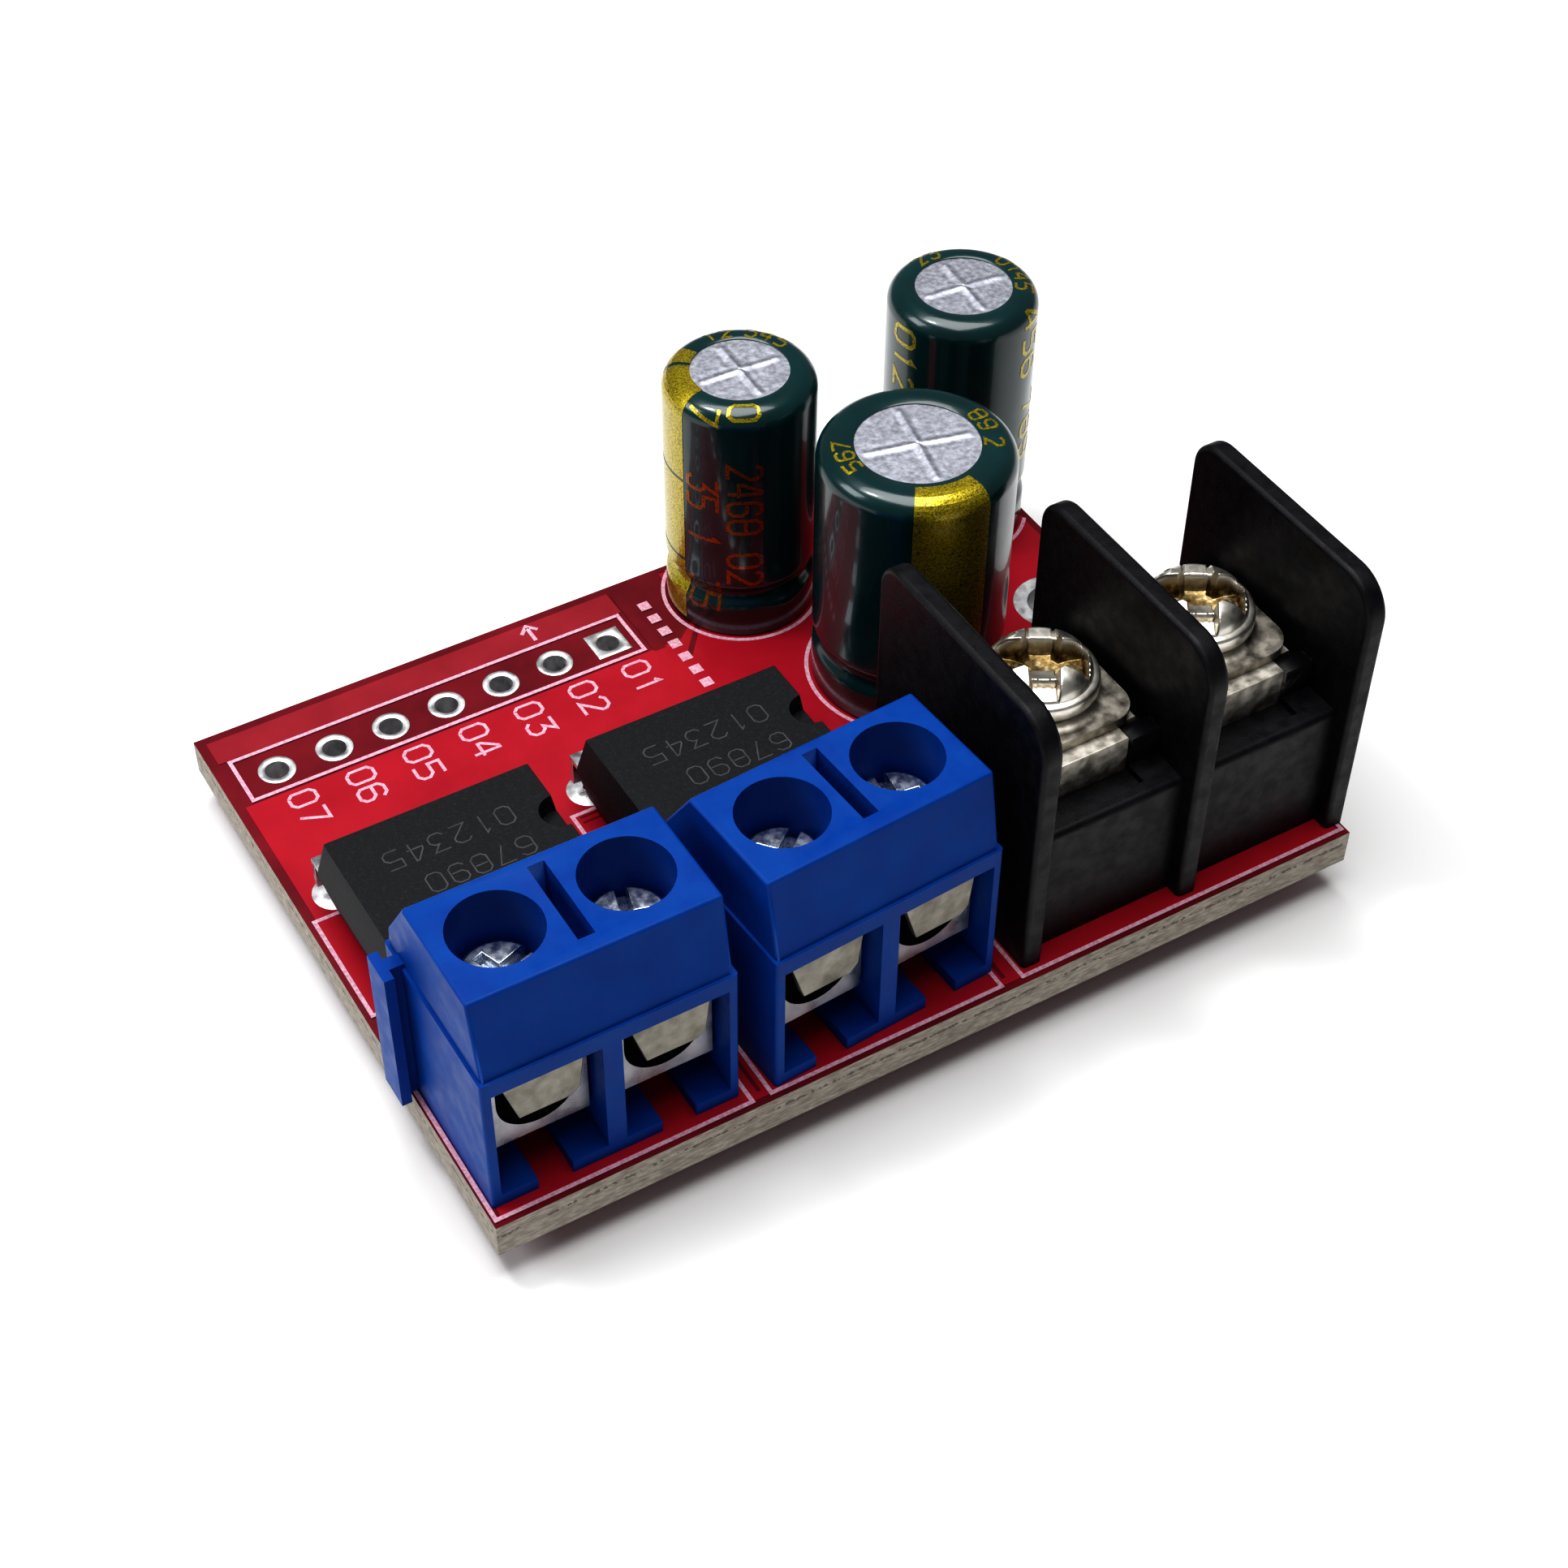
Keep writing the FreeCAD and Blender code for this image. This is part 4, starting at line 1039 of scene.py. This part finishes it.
def sleeve(name):
    """The skin of a sleeve: up the outside, over the shoulder to the disc, and back inside."""
    heart, radius, foot, tall = upright(name)
    side, arc = tall - BEND, BEND * math.pi / 2
    steps = [foot, foot + 0.05, 1.4] + [1.5 + 0.1 * i for i in range(15)] + [3.1, 5.0, 7.0, 9.0]
    steps += [side + arc * i / 8 for i in range(9)] + [side + arc + radius - BEND - DISC[name] - 0.04]
    outer = [outline_point(radius, tall, v, 0.0) for v in steps]
    outer[0] = (outer[0][0] - 0.04, outer[0][1])
    lip = [(DISC[name] - 0.02, tall - 0.035), (DISC[name] - 0.02, tall - FILM_MM)]
    inner = [outline_point(radius, tall, v, -FILM_MM) for v in reversed(steps[:-1])]
    mesh = smoothed(lathe(outer + lip + inner, 96), 50)
    mesh.transform(Matrix.Translation(at(*heart)))
    return mesh


# %% Pressed discs
DISC_TURN = {"1": -2, "2": -13, "3": -5}      # turn of the vent cross in degrees


def disc(name):
    """The bare top of a can, with its pressed vent cross, as heights on rings."""
    reach, turn = DISC[name], math.radians(DISC_TURN[name])
    heart = middle("capacitor_%s_sleeve" % name)
    floor_z = board_mm(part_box("capacitor_%s_can" % name)[1]).z
    bm = bmesh.new()
    segments, rings = 144, []
    radii = [reach * i / 40 for i in range(1, 41)]
    for r in radii:
        ring = []
        for i in range(segments):
            a = 2 * math.pi * i / segments
            x, y = r * math.cos(a), r * math.sin(a)
            off = min(abs(y), abs(x))
            end = 1 - ramp(r, reach - 0.42, reach - 0.15)
            ridge = 0.050 * math.exp(-(off / 0.13) ** 2)
            trough = 0.012 * math.exp(-((off - 0.28) / 0.12) ** 2)
            crown = 0.03 * math.exp(-(r / 0.6) ** 2)
            z = floor_z + 0.015 + (ridge - trough) * end + crown
            ring.append(bm.verts.new(at(heart.x + r * math.cos(a + turn),
                                        heart.y + r * math.sin(a + turn), z)))
        rings.append(ring)
    skirt = [bm.verts.new(at(heart.x + reach * math.cos(2 * math.pi * i / segments + turn),
                             heart.y + reach * math.sin(2 * math.pi * i / segments + turn), floor_z - 0.03))
             for i in range(segments)]
    rings.append(skirt)
    top = bm.verts.new(at(heart.x, heart.y, floor_z + 0.03))
    for i in range(segments):
        j = (i + 1) % segments
        bm.faces.new((top, rings[0][i], rings[0][j]))
        for inner, outer in zip(rings, rings[1:]):
            bm.faces.new((inner[i], outer[i], outer[j], inner[j]))
    bm.faces.new(skirt)
    return smoothed(built(bm, "disc"), 60)


for name in CAPS:
    made = settle("capacitor_%s_film" % name, sleeve(name), "root", FILM)
    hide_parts("capacitor_%s_sleeve" % name)
    refined("capacitor_%s_can" % name, ALUMINIUM)
    dressed("capacitor_%s_seal" % name, RUBBER)
    dressed("capacitor_%s_winding" % name, FOIL)
    refined("capacitor_%s_leads" % name, LEAD_TIN)
    settle("capacitor_%s_disc" % name, disc(name), "root", ALUMINIUM)
print("sleeve faces:", len(made.data.polygons))

# %% Print of capacitor 1
TOWARDS = 239.0                      # direction in degrees that faces the camera
PRINT_ON_FILM = {"low": -0.03, "high": 0.012}
SIDE_1 = upright("1")[3] - BEND
gold, painted_reflection_print = bmesh.new(), bmesh.new()
band = wrap("1", TOWARDS - 74, 0)
for along in ((0.3, 3.45), (3.6, 7.7), (7.85, SIDE_1 + 1.6)):
    patch(gold, (-1.15, 1.60), along, band)
patch(gold, (-2.6, -1.4), (SIDE_1 + 0.15, SIDE_1 + 1.6), band)
# The numerals lower on the side use the orange print: painted reflection of the red board and painted shade
COLUMNS = (("7", SIDE_1 + 0.9, -2.3, gold), ("0", SIDE_1 + 1.2, -0.45, gold), ("35 1", 8.4, -2.3, painted_reflection_print),
           ("35", 3.0, -2.3, painted_reflection_print), ("2468", 9.3, -0.45, painted_reflection_print), ("02", 4.6, -0.45, painted_reflection_print))
for text, start_v, shift, where in COLUMNS:
    column = wrap("1", TOWARDS, start_v, True, shift)
    numerals(where, text, 1.40, 0.17, column, 0.68, 0.72, **PRINT_ON_FILM)
settle("capacitor_1_gold", built(gold), "root", GOLD)
settle("capacitor_1_numbers", built(painted_reflection_print), "root", GOLD_WITH_PAINTED_REFLECTION)

# %% Print of capacitor 2
SIDE_2 = upright("2")[3] - BEND
gold = bmesh.new()
band = wrap("2", TOWARDS, 0)
patch(gold, (-0.25, 3.05), (0.3, SIDE_2 + 1.7), band)
settle("capacitor_2_gold", built(gold), "root", GOLD)

# %% Print of capacitor 3
numbers = bmesh.new()
for facing, text, start_v in ((-62, "0123", 11.4), (52, "456", 12.0), (58, "789", 7.4)):
    column = wrap("3", TOWARDS + facing, start_v, True)
    numerals(numbers, text, 1.2, 0.18, column, 0.98, **PRINT_ON_FILM)
settle("capacitor_3_numbers", built(numbers), "root", GOLD)


# %% Numbers round the tops
def round_top(name, facing):
    """A place function for a short row on a capacitor's top ring, its feet towards the disc."""
    heart, radius, _, tall = upright(name)
    edge = DISC[name] + 0.12

    def place(u, v, lift):
        turn = math.radians(facing) - u / (edge + 0.35)
        r = edge + v
        bend = max(0.0, r - (radius - BEND))
        drop = BEND - math.sqrt(max(0.0, BEND ** 2 - min(bend, BEND) ** 2))
        return at(heart[0] + r * math.cos(turn), heart[1] + r * math.sin(turn), tall - drop + lift)
    return place


# Capacitor, direction in degrees that the row starts at, and numerals
TOP_ROWS = (
    ("1", 95, "12"), ("1", 55, "34"), ("1", 22, "5"),
    ("2", 185, "56"), ("2", 160, "7"), ("2", 10, "89"), ("2", 335, "2"),
    ("3", 20, "01"), ("3", 350, "45"), ("3", 110, "23"),
)
for name, facing, text in TOP_ROWS:
    marks = bmesh.new()
    numerals(marks, text, 0.72, 0.12, round_top(name, facing), 1.0, **PRINT_ON_FILM)
    settle("capacitor_%s_top_%d" % (name, facing), built(marks), "root", GOLD)

# %% [markdown]
# ## Under the board
#
# The regulator and its two ceramic capacitors are small surface parts. They are seen only from
# below, where their soldered feet catch the light.

# %% Under the board
refined("regulator_case", EPOXY, 0.03)
refined("regulator_leads", LEAD_TIN)
refined("ceramic_capacitors", CERAMIC, 0.05)

# %% Floor finish
floor_finish = start("white_card", 0.8, Base_Color=(0.9, 0.9, 0.9, 1))[0]
floor_mesh.materials.append(floor_finish)
